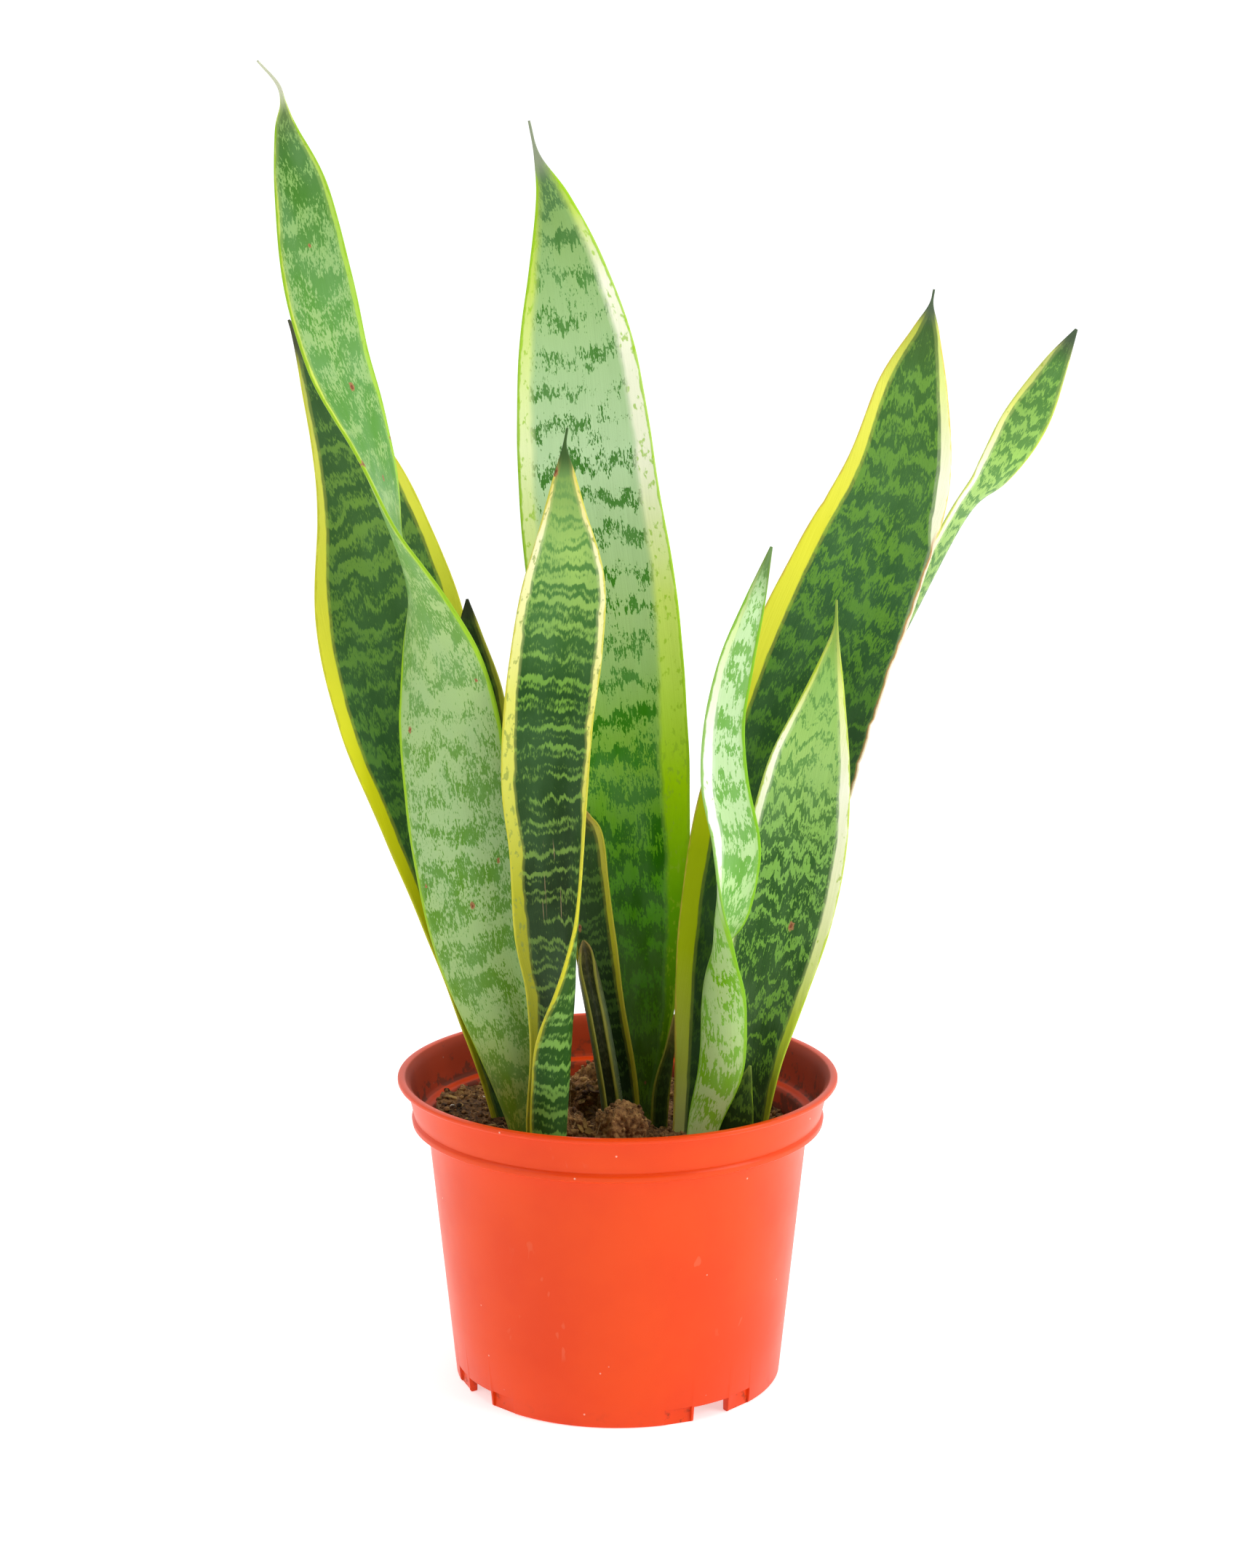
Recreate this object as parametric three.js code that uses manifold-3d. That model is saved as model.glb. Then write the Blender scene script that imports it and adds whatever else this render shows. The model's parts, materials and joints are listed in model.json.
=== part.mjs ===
// A snake plant in a 17 cm nursery pot: thirteen leaves in three close rosettes, potting soil and
// loose clods. Millimetres, +Z up. Lengths are laid out from the pot's axis, and the finished group
// is shifted so that the origin lies on the floor under the middle of the plant's whole width.
import * as THREE from 'three';
import * as BufferGeometryUtils from 'three/addons/utils/BufferGeometryUtils.js';
import Module from 'manifold-3d';

const wasm = await Module();
wasm.setup();

const fitGap = 0.3; // clearance between pieces that touch
const potAxisX = -24; // the pot stands left of the middle of the leaf spread

const pot = {
  height: 120,
  rimRadius: 85,
  rimThickness: 2,
  rimInnerRadius: 82.8,
  collarTopRadius: 81.2,
  collarFootRadius: 79.2,
  ledgeHeight: 102,
  bodyTopRadius: 73.7,
  footRadius: 63.4,
  footWidth: 2.4,
  floorHeight: 6.5,
  floorThickness: 1.8,
  wall: 1.6,
  facets: 64,
};

const foot = {
  gapCount: 4,
  firstGapAngle: 34, // degrees from the front, towards the right
  gapWidth: 16,
  panelWidth: 11,
  panelDepth: 1,
  panelOffsetAngle: 13,
  slotWidth: 12,
  slotLength: 9,
};

const soil = {
  level: 98,
  wallRadius: 71.1, // at the soil's level, inside the tapering wall
  rings: 8,
  facets: 48,
};

// Leaves, base first. Each row: x, y, z of the midrib, width round the curve, turn of the face about
// the vertical (0 faces the front, 180 the back), and how far the left and the right half curl
// towards the face, all angles in degrees.
const leaves = {
  leaf_tall_left: {
    color: '#7fa874',
    thick: 3.4,
    rows: [
      [-33, -28, 84, 13, 175, 70, 70],
      [-35, -28, 107, 17, 175, 60, 60],
      [-42, -27, 140, 29, 178, 50, 50],
      [-51, -26, 173, 36, 180, 35, 35],
      [-57, -24, 207, 39, 180, 25, 25],
      [-61, -22, 240, 41, 172, 20, 20],
      [-65, -20, 272, 40, 155, 18, 18],
      [-72, -19, 304, 37, 122, 18, 18],
      [-82, -18, 332, 34, 92, 15, 15],
      [-91, -16, 362, 31, 68, 15, 15],
      [-102, -15, 392, 28, 38, 15, 15],
      [-109, -13, 423, 26, 18, 15, 15],
      [-114, -11, 454, 20, 5, 15, 15],
      [-119, -10, 475, 9, 0, 10, 10],
      [-120, -10, 485, 2.5, 0, 5, 5],
      [-122, -10, 492, 1.4, 0, 0, 0],
      [-129, -10, 500, 0.8, 0, 0, 0],
    ],
  },
  leaf_rear_left: {
    color: '#2f5c2c',
    thick: 3.2,
    rows: [
      [-37, -4, 84, 13, 10, 65, 65],
      [-41, -5, 104, 18, 10, 55, 55],
      [-48, -4, 139, 25, 10, 40, 40],
      [-58, -2, 179, 34, 10, 30, 30],
      [-68, 2, 218, 45, 10, 22, 22],
      [-79, 6, 258, 55, 10, 18, 18],
      [-87, 10, 297, 56, 8, 15, 15],
      [-94, 14, 335, 40, 5, 15, 15],
      [-102, 16, 360, 27, 0, 12, 12],
      [-112, 18, 385, 15, 0, 10, 10],
      [-120, 18, 401, 4, 0, 5, 5],
      [-123, 18, 407, 0.9, 0, 0, 0],
    ],
  },
  leaf_inner_left: {
    color: '#2b5228',
    thick: 2.4,
    rows: [
      [-34, -15, 84, 9, 0, 70, 70],
      [-36, -15, 107, 12, 0, 60, 60],
      [-39, -13, 148, 15, 0, 40, 40],
      [-43, -11, 188, 18, 0, 30, 30],
      [-46, -9, 228, 20, 0, 22, 22],
      [-51, -8, 267, 18, 0, 18, 18],
      [-55, -7, 292, 9, 0, 12, 12],
      [-56, -6, 305, 1, 0, 0, 0],
    ],
  },
  leaf_front_center: {
    color: '#2f5a33',
    thick: 2.4,
    rows: [
      [-21, -41, 84, 34, -80, 110, 150],
      [-20, -41, 111, 37, -80, 110, 155],
      [-18.5, -39, 137, 38, -80, 100, 145],
      [-18.5, -37, 163, 37, -52, 55, 115],
      [-21.5, -36, 187, 35, -25, 42, 90],
      [-23, -34, 215, 34, -8, 22, 80],
      [-26, -32, 240, 34, 0, 22, 45],
      [-25, -31, 265, 34, 0, 20, 25],
      [-22, -29, 290, 34, 0, 18, 18],
      [-19, -28, 315, 30, 0, 18, 18],
      [-19, -27, 339, 16, 0, 12, 12],
      [-19, -26, 353, 8, 0, 8, 8],
      [-19, -26, 363, 1.8, 0, 0, 0],
      [-18, -26, 370, 0.8, 0, 0, 0],
    ],
  },
  leaf_tall_center: {
    color: '#8fb884',
    thick: 4,
    rows: [
      [9, 12, 84, 15, 0, 75, 75],
      [8, 12, 103, 17, 0, 72, 72],
      [9, 13, 125, 24, 0, 60, 60],
      [8, 15, 150, 34, 0, 48, 48],
      [4, 17, 199, 50, 0, 33, 33],
      [0, 19, 248, 56, 0, 26, 26],
      [-5, 22, 297, 58, 0, 22, 22],
      [-11, 24, 344, 54, 0, 20, 20],
      [-15, 26, 391, 46, 0, 18, 18],
      [-19, 28, 425, 30, 0, 15, 15],
      [-24, 29, 450, 14, 0, 12, 12],
      [-30, 30, 467, 2.6, 0, 5, 5],
      [-33, 30, 480, 0.9, 0, 0, 0],
    ],
  },
  leaf_short_center: {
    color: '#33592c',
    thick: 2.4,
    rows: [
      [2, 5, 84, 13, 0, 65, 65],
      [2, 5, 107, 15, 0, 60, 60],
      [-3, 6, 136, 16, 0, 45, 45],
      [-8, 6, 165, 17, 0, 35, 35],
      [-11, 7, 194, 16, 0, 28, 28],
      [-12, 7, 212, 13, 0, 18, 18],
      [-13, 7, 219, 6, 0, 10, 10],
      [-14, 7, 223, 1, 0, 0, 0],
    ],
  },
  leaf_spear_center: {
    color: '#3c5a3a',
    thick: 1.6,
    rows: [
      [-1, -4, 84, 18, 0, 150, 150],
      [-2, -4, 108, 19, 0, 150, 150],
      [-7, -4, 140, 19, 0, 150, 150],
      [-11, -3, 160, 16, 0, 140, 140],
      [-12, -3, 168, 8, 0, 100, 100],
      [-13, -3, 173, 1, 0, 20, 20],
    ],
  },
  leaf_sprout_center: {
    color: '#2c4f28',
    thick: 1.6,
    rows: [
      [16, -2, 84, 7, 0, 40, 40],
      [16, -2, 99, 7, 0, 40, 40],
      [17, -2, 114, 7, 0, 35, 35],
      [20, -1, 129, 4, 0, 25, 25],
      [22, -1, 143, 1, 0, 0, 0],
    ],
  },
  leaf_broad_right: {
    color: '#2e5d2c',
    thick: 3.6,
    rows: [
      [30, -4, 84, 25, 0, 62, 62],
      [33, -2, 99, 28, 0, 58, 58],
      [40, 1, 136, 40, 0, 42, 50],
      [47, 4, 173, 50, -5, 32, 55],
      [57, 7, 209, 60, -5, 25, 55],
      [66, 10, 245, 59, -3, 22, 42],
      [77, 13, 280, 56, 0, 20, 30],
      [91, 16, 313, 51, 0, 18, 22],
      [105, 19, 346, 42, 0, 18, 18],
      [111, 22, 380, 28, 0, 15, 15],
      [116, 24, 402, 11, 0, 10, 10],
      [118, 25, 412, 2, 0, 0, 0],
      [119, 25, 418, 0.8, 0, 0, 0],
    ],
  },
  leaf_far_right: {
    color: '#5b8f47',
    thick: 2.8,
    rows: [
      [42, 18, 84, 18, 10, 60, 60],
      [47, 21, 112, 21, 10, 50, 50],
      [59, 27, 160, 24, 15, 30, 25],
      [74, 33, 208, 26, 30, 15, 0],
      [92, 38, 252, 26, 45, 5, -30],
      [113, 42, 292, 24, 55, 0, -50],
      [133, 46, 330, 20, 52, 0, -50],
      [146, 48, 347, 20, 30, 5, -25],
      [158, 50, 367, 19, 10, 5, -8],
      [169, 51, 388, 10, 0, 5, 0],
      [177, 52, 402, 1.2, 0, 0, 0],
    ],
  },
  leaf_twisted_right: {
    color: '#8db981',
    thick: 2.6,
    rows: [
      [30, -38, 84, 12, 175, 60, 60],
      [32, -38, 109, 14, 172, 60, 60],
      [38, -38, 132, 19, 165, 45, 45],
      [38, -38, 155, 21, 150, 45, 45],
      [36, -39, 172, 24, 110, 70, 45],
      [38, -40, 189, 25, 55, 110, 40],
      [42, -42, 207, 21, 28, 60, 25],
      [43, -43, 221, 19, 12, 35, 25],
      [39, -45, 243, 18, 5, 25, 20],
      [39, -47, 266, 15, 0, 20, 20],
      [43, -49, 288, 13, 0, 15, 15],
      [49, -51, 309, 8, 0, 10, 10],
      [55, -53, 330, 1, 0, 0, 0],
    ],
  },
  leaf_front_right: {
    color: '#548a49',
    thick: 2.8,
    rows: [
      [49, -19, 84, 14, 0, 65, 65],
      [49, -20, 105, 18, 0, 55, 55],
      [51, -20, 134, 26, 0, 40, 40],
      [56, -21, 162, 34, 0, 28, 28],
      [62, -22, 190, 39, 0, 22, 22],
      [67, -24, 218, 38, 0, 20, 20],
      [71, -26, 246, 31, 0, 18, 18],
      [76, -28, 272, 16, 0, 12, 12],
      [79, -30, 291, 5, 0, 8, 8],
      [80, -30, 299, 1.6, 0, 0, 0],
      [80, -31, 308, 0.8, 0, 0, 0],
    ],
  },
  leaf_sprout_right: {
    color: '#2c5428',
    thick: 1.8,
    rows: [
      [41, -29, 84, 12, 0, -40, -40],
      [43, -29, 102, 17, 0, -40, -40],
      [45, -29, 114, 14, 0, -35, -35],
      [48, -29, 124, 6, 0, -20, -20],
      [50, -29, 131, 1, 0, 0, 0],
    ],
  },
};

// Loose clods lying half sunk in the soil: place, half sizes, and a number that varies the lumps.
const clods = [
  { at: [2, -22, 101], size: [14, 9, 13], lumps: 1 },
  { at: [-19, -14, 101], size: [6, 8, 10], lumps: 2 },
  { at: [-15, 18, 101], size: [10, 8, 10], lumps: 3 },
  { at: [-12, 42, 99], size: [11, 9, 10], lumps: 4 },
  { at: [-58, 12, 99], size: [8, 10, 9], lumps: 5 },
  { at: [-48, 34, 99], size: [9, 8, 9], lumps: 6 },
  { at: [-34, -55, 101], size: [9, 7, 9], lumps: 7 },
];

const acrossSteps = 6;
const alongStepsPerRow = 2;

function toSolid(geometry) {
  const bare = geometry.clone();
  bare.deleteAttribute('normal');
  bare.deleteAttribute('uv');
  const merged = BufferGeometryUtils.mergeVertices(bare, 1e-4);
  return new wasm.Manifold(new wasm.Mesh({
    numProp: 3,
    vertProperties: new Float32Array(merged.attributes.position.array),
    triVerts: new Uint32Array(merged.index.array),
  }));
}

function toGeometry(solid) {
  const mesh = solid.getMesh();
  const geometry = new THREE.BufferGeometry();
  geometry.setAttribute('position', new THREE.BufferAttribute(mesh.vertProperties, mesh.numProp));
  geometry.setIndex(new THREE.BufferAttribute(mesh.triVerts, 1));
  return geometry;
}

function latheAboutZ(profile, facets) {
  const geometry = new THREE.LatheGeometry(profile.map(([r, z]) => new THREE.Vector2(r, z)), facets);
  return geometry.rotateX(Math.PI / 2);
}

function boxAt(width, depth, height, x, y, z) {
  return new THREE.BoxGeometry(width, depth, height).translate(x, y, z);
}

// One leaf: a box bent vertex by vertex along the midrib and round its section.
function leafGeometry({ thick, rows }, grow = 0) {
  const curveOf = (pick) => new THREE.CatmullRomCurve3(
    rows.map((row) => new THREE.Vector3(...pick(row))), false, 'catmullrom', 0.5);
  const midrib = curveOf((row) => row.slice(0, 3));
  const widthAndTurn = curveOf((row) => [row[3], row[4], 0]);
  const curls = curveOf((row) => [row[5], row[6], 0]);
  const edgeThickness = 0.9;
  const narrowest = 0.7;
  const fullThicknessWidth = 14;

  const steps = (rows.length - 1) * alongStepsPerRow;
  const blade = new THREE.BoxGeometry(2, 2, 1, acrossSteps, 1, steps);
  const place = blade.attributes.position;
  const corner = new THREE.Vector3();
  for (let i = 0; i < place.count; i++) {
    corner.fromBufferAttribute(place, i);
    const along = THREE.MathUtils.clamp(corner.z + 0.5, 0, 1);
    const center = midrib.getPoint(along);
    const tangent = midrib.getTangent(along);
    const form = widthAndTurn.getPoint(along);
    const width = Math.max(form.x, narrowest);
    const turn = THREE.MathUtils.degToRad(form.y);
    const widthAxis = new THREE.Vector3(Math.cos(turn), Math.sin(turn), 0);
    widthAxis.addScaledVector(tangent, -widthAxis.dot(tangent)).normalize();
    const faceAxis = widthAxis.clone().cross(tangent);

    const edge = Math.sign(corner.x);
    const curl = THREE.MathUtils.degToRad(corner.x < 0 ? curls.getPoint(along).x : curls.getPoint(along).y);
    const half = width / 2 + grow;
    const bend = Math.abs(corner.x) * curl;
    const flat = Math.abs(curl) < 0.01;
    const sideways = flat ? Math.abs(corner.x) * half : (half / curl) * Math.sin(bend);
    const forward = flat ? 0 : (half / curl) * (1 - Math.cos(bend));

    const middle = Math.max(edgeThickness, thick * Math.min(1, width / fullThicknessWidth));
    const thickness = edgeThickness + (middle - edgeThickness) * (1 - corner.x ** 2) + 2 * grow;
    const outward = -corner.y * thickness / 2;
    center.addScaledVector(widthAxis, edge * (sideways - outward * Math.sin(bend)));
    center.addScaledVector(faceAxis, forward + outward * Math.cos(bend));
    if (along === 0) center.addScaledVector(tangent, -grow);
    place.setXYZ(i, center.x, center.y, center.z);
  }
  return blade;
}

// The pot: a lathed wall, rim and raised floor, with four gaps in the foot ring, a shallow panel
// either side of each gap, and a drain slot in the floor behind each gap.
function potGeometry() {
  const { height, rimRadius, rimThickness, ledgeHeight, wall, footRadius, footWidth } = pot;
  const floorTop = pot.floorHeight + pot.floorThickness;
  const edge = 0.6;
  const outline = [
    [0, pot.floorHeight],
    [footRadius - footWidth - edge, pot.floorHeight],
    [footRadius - footWidth - edge, 0],
    [footRadius - edge, 0],
    [footRadius, edge],
    [pot.bodyTopRadius, ledgeHeight - 1],
    [pot.collarFootRadius - edge, ledgeHeight - 0.4],
    [pot.collarFootRadius, ledgeHeight],
    [pot.collarFootRadius + 0.3, ledgeHeight + 2],
    [pot.collarFootRadius, ledgeHeight + 2.5],
    [pot.collarTopRadius, height - rimThickness - 1],
    [rimRadius - edge, height - rimThickness],
    [rimRadius, height - rimThickness + edge],
    [rimRadius, height - edge],
    [rimRadius - edge, height],
    [pot.rimInnerRadius, height],
    [pot.rimInnerRadius - 2, height - 1.4],
    [pot.collarTopRadius - wall, height - 4],
    [pot.collarFootRadius - wall, ledgeHeight + 2.8],
    [pot.collarFootRadius - wall - 1, ledgeHeight + 1.6],
    [pot.bodyTopRadius - wall + 1.2, ledgeHeight + 0.8],
    [pot.bodyTopRadius - wall, ledgeHeight - 0.6],
    [footRadius - wall + 1, floorTop + 1],
    [footRadius - wall, floorTop],
    [0, floorTop],
  ];
  let solid = toSolid(latheAboutZ(outline, pot.facets));
  const past = 1; // cutters run this far past the surface they open
  const turnAboutZ = (geometry, degrees) => geometry.rotateZ(THREE.MathUtils.degToRad(degrees));
  for (let i = 0; i < foot.gapCount; i++) {
    const angle = foot.firstGapAngle + i * 360 / foot.gapCount;
    const gap = boxAt(foot.gapWidth, 14, pot.floorHeight - 0.5 + past, 0, -footRadius,
      (pot.floorHeight - 0.5 - past) / 2);
    solid = solid.subtract(toSolid(turnAboutZ(gap, angle)));
    const slot = boxAt(foot.slotWidth, foot.slotLength, pot.floorThickness + 2 * past,
      0, -footRadius + footWidth + edge + past + foot.slotLength / 2,
      pot.floorHeight + pot.floorThickness / 2);
    solid = solid.subtract(toSolid(turnAboutZ(slot, angle)));
    for (const side of [-1, 1]) {
      const panel = boxAt(foot.panelWidth, 6, pot.floorHeight + past, 0,
        -footRadius + foot.panelDepth - 3, (pot.floorHeight - past) / 2);
      solid = solid.subtract(toSolid(turnAboutZ(panel, angle + side * foot.panelOffsetAngle)));
    }
  }
  return toGeometry(solid);
}

// Low mounds and hollows of the soil's top.
function soilHeight(x, y) {
  const mounds = 1.3 * Math.sin(x / 9 + 1) * Math.cos(y / 11) + 0.8 * Math.sin((x + y) / 5);
  const slope = -0.03 * x;
  return soil.level + mounds + slope;
}

function clodGeometry({ at, size, lumps }, grow = 0) {
  const clod = new THREE.IcosahedronGeometry(1, 1);
  const place = clod.attributes.position;
  const point = new THREE.Vector3();
  for (let i = 0; i < place.count; i++) {
    point.fromBufferAttribute(place, i).normalize();
    const lump = 0.1 * Math.sin(4 * point.x + 2 * lumps) + 0.08 * Math.sin(5 * point.y - lumps)
      + 0.08 * Math.cos(5 * point.z + 3 * lumps);
    const reach = size.map((half) => half * (0.86 + lump) + grow);
    place.setXYZ(i, at[0] + point.x * reach[0], at[1] + point.y * reach[1], at[2] + point.z * reach[2]);
  }
  return clod;
}

// The soil fills the pot up to its lumpy top, with a socket round every leaf and clod.
function soilGeometry() {
  const bottom = pot.floorHeight + pot.floorThickness + fitGap;
  const bottomRadius = pot.footRadius - pot.wall + 0.6;
  const outline = [[0, bottom], [bottomRadius - 1, bottom], [bottomRadius, bottom + 1.5]];
  for (let i = 0; i <= soil.rings; i++) {
    outline.push([soil.wallRadius * (1 - i / soil.rings), soil.level]);
  }
  const block = latheAboutZ(outline, soil.facets);
  const place = block.attributes.position;
  for (let i = 0; i < place.count; i++) {
    if (place.getZ(i) > soil.level - 1) place.setZ(i, soilHeight(place.getX(i), place.getY(i)));
  }
  let solid = toSolid(block);
  for (const leaf of Object.values(leaves)) solid = solid.subtract(toSolid(leafGeometry(leaf, fitGap)));
  for (const clod of clods) solid = solid.subtract(toSolid(clodGeometry(clod, fitGap)));
  return toGeometry(solid);
}

const plant = new THREE.Group();
plant.position.x = potAxisX;

function addPiece(name, geometry, color, roughness) {
  const piece = new THREE.Mesh(geometry, new THREE.MeshStandardMaterial({ color, roughness, metalness: 0 }));
  piece.name = name;
  plant.add(piece);
}

addPiece('nursery_pot', potGeometry(), '#e8502c', 0.4);
addPiece('potting_soil', soilGeometry(), '#4a3325', 0.95);
clods.forEach((clod, i) => addPiece(`soil_clod_${i + 1}`, clodGeometry(clod), '#5a3f2c', 0.95));
for (const [name, leaf] of Object.entries(leaves)) addPiece(name, leafGeometry(leaf), leaf.color, 0.45);

export default plant;
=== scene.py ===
# Snake plant in a nursery pot: a moulded pot, soil with loose clods, and thirteen banded leaves.
# Sizes given here are in millimetres from the pot's axis; every finished object is in metres.
import json
import math
import random

import bmesh
import bpy
from mathutils import Matrix, Vector, noise
from mathutils.bvhtree import BVHTree

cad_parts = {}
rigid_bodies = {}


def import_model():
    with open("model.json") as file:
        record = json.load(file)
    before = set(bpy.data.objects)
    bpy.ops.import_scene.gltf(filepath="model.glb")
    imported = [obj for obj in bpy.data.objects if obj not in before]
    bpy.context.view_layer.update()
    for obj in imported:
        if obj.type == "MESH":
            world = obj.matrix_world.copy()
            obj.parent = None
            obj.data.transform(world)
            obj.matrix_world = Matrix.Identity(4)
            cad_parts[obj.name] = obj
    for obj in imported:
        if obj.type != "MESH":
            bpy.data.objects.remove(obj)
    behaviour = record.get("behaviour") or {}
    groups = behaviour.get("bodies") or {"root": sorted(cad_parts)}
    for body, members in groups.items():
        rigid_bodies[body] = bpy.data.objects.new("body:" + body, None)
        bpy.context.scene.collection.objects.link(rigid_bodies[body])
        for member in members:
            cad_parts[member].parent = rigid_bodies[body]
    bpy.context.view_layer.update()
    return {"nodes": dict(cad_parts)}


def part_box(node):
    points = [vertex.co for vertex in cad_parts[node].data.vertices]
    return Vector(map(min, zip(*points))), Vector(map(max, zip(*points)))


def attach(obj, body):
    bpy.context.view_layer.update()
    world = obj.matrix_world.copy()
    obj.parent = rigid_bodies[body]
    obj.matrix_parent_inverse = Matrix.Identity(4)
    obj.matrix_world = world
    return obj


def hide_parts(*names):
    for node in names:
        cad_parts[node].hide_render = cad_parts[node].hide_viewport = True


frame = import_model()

potLow, potHigh = (Vector(corner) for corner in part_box("nursery_pot"))
potX = (potLow.x + potHigh.x) / 2  # the pot stands a little left of the origin
potY = (potLow.y + potHigh.y) / 2
mm = 0.001
print("frame loaded:", len(frame["nodes"]), "solids")


# shared tools for meshes

def shade(code):
    # "#rrggbb" as a linear colour
    parts = [int(code[i:i + 2], 16) / 255 for i in (1, 3, 5)]
    return [c / 12.92 if c <= 0.04045 else ((c + 0.055) / 1.055) ** 2.4 for c in parts] + [1.0]


def between(stops, at):
    # straight-line value of stops (position, value, ...) at a position
    if at <= stops[0][0]:
        return stops[0][1:]
    for low, high in zip(stops, stops[1:]):
        if at <= high[0]:
            t = (at - low[0]) / (high[0] - low[0])
            return [a + (b - a) * t for a, b in zip(low[1:], high[1:])]
    return stops[-1][1:]


def finishPiece(name, bm, material, nodes, sharpAngle=180):
    # turns a bmesh into an object that stands for the named solids
    for face in bm.faces:
        face.smooth = True
    for edge in bm.edges:
        edge.smooth = edge.calc_face_angle(0) < math.radians(sharpAngle)
    mesh = bpy.data.meshes.new(name)
    bm.to_mesh(mesh)
    bm.free()
    piece = bpy.data.objects.new(name, mesh)
    bpy.context.scene.collection.objects.link(piece)
    mesh.materials.append(material)
    if nodes:
        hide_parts(*nodes)
    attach(piece, "root")
    return piece


# shared tools for materials

def plug(tree, socket, value):
    if isinstance(value, bpy.types.NodeSocket):
        tree.links.new(value, socket)
    elif isinstance(value, str):
        socket.default_value = shade(value)
    else:
        socket.default_value = value


def addNode(tree, kind, inputs, **settings):
    node = tree.nodes.new(kind)
    for key, value in settings.items():
        setattr(node, key, value)
    for key, value in inputs.items():
        plug(tree, node.inputs[key], value)
    return node


def sums(tree, operation, a, b=0.0, clamp=False):
    return addNode(tree, "ShaderNodeMath", {0: a, 1: b}, operation=operation, use_clamp=clamp).outputs[0]


def fade(tree, value, low, high, toLow=0.0, toHigh=1.0):
    limits = {"Value": value, "From Min": low, "From Max": high, "To Min": toLow, "To Max": toHigh}
    return addNode(tree, "ShaderNodeMapRange", limits, interpolation_type="SMOOTHSTEP").outputs["Result"]


def blend(tree, factor, a, b, mode="MIX"):
    return addNode(tree, "ShaderNodeMix", {0: factor, 6: a, 7: b}, data_type="RGBA",
                   blend_type=mode).outputs[2]


def ramp(tree, factor, stops):
    node = addNode(tree, "ShaderNodeValToRGB", {"Fac": factor})
    elements = node.color_ramp.elements
    while len(elements) < len(stops):
        elements.new(1.0)
    for element, (position, code) in zip(elements, stops):
        element.position = position
        element.color = shade(code)
    return node.outputs["Color"]


def grain(tree, vector, scale, detail=2.0, roughness=0.5):
    inputs = {"Vector": vector, "Scale": scale, "Detail": detail, "Roughness": roughness}
    return addNode(tree, "ShaderNodeTexNoise", inputs).outputs["Fac"]


def newGroup(name, inputs, outputs):
    # a shader node group: inputs are name and start value, outputs are names of values
    tree = bpy.data.node_groups.new(name, "ShaderNodeTree")
    for label, value in inputs.items():
        kind = "NodeSocketVector" if isinstance(value, tuple) else "NodeSocketFloat"
        tree.interface.new_socket(label, in_out="INPUT", socket_type=kind).default_value = value
    for label in outputs:
        tree.interface.new_socket(label, in_out="OUTPUT", socket_type="NodeSocketFloat")
    return tree, tree.nodes.new("NodeGroupInput").outputs, tree.nodes.new("NodeGroupOutput").inputs


def fromGroup(tree, group, **inputs):
    # places a node group; its inputs are given by their names in small letters
    node = addNode(tree, "ShaderNodeGroup", {}, node_tree=group)
    for key, value in inputs.items():
        plug(tree, node.inputs[key.capitalize()], value)
    return node.outputs


def newMaterial(name, roughness=0.5, specular=0.5):
    material = bpy.data.materials.new(name)
    material.use_nodes = True
    tree = material.node_tree
    shader = tree.nodes["Principled BSDF"]
    shader.inputs["Roughness"].default_value = roughness
    shader.inputs["Specular IOR Level"].default_value = specular
    return material, tree, shader


# leaf effects: positions on a leaf are in millimetres across and along the blade

def makeStreak():
    # noise stretched along the leaf, from about -1 to 1
    tree, given, out = newGroup("streakNoise", {"Across": 0.0, "Along": 0.0, "Width": 1.0, "Length": 1.0,
                                                "Detail": 1.0, "Seed": 0.0}, ["Value"])
    place = addNode(tree, "ShaderNodeCombineXYZ", {
        0: sums(tree, "DIVIDE", given["Across"], given["Width"]),
        1: sums(tree, "DIVIDE", given["Along"], given["Length"]), 2: given["Seed"]})
    fac = grain(tree, place.outputs[0], 1.0, given["Detail"])
    plug(tree, out["Value"], sums(tree, "MULTIPLY", sums(tree, "SUBTRACT", fac, 0.5), 4.0))
    return tree


streakNoise = makeStreak()


def streak(tree, across, along, width, length, detail, seed):
    return fromGroup(tree, streakNoise, across=across, along=along, width=width, length=length,
                     detail=detail, seed=seed)["Value"]


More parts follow.
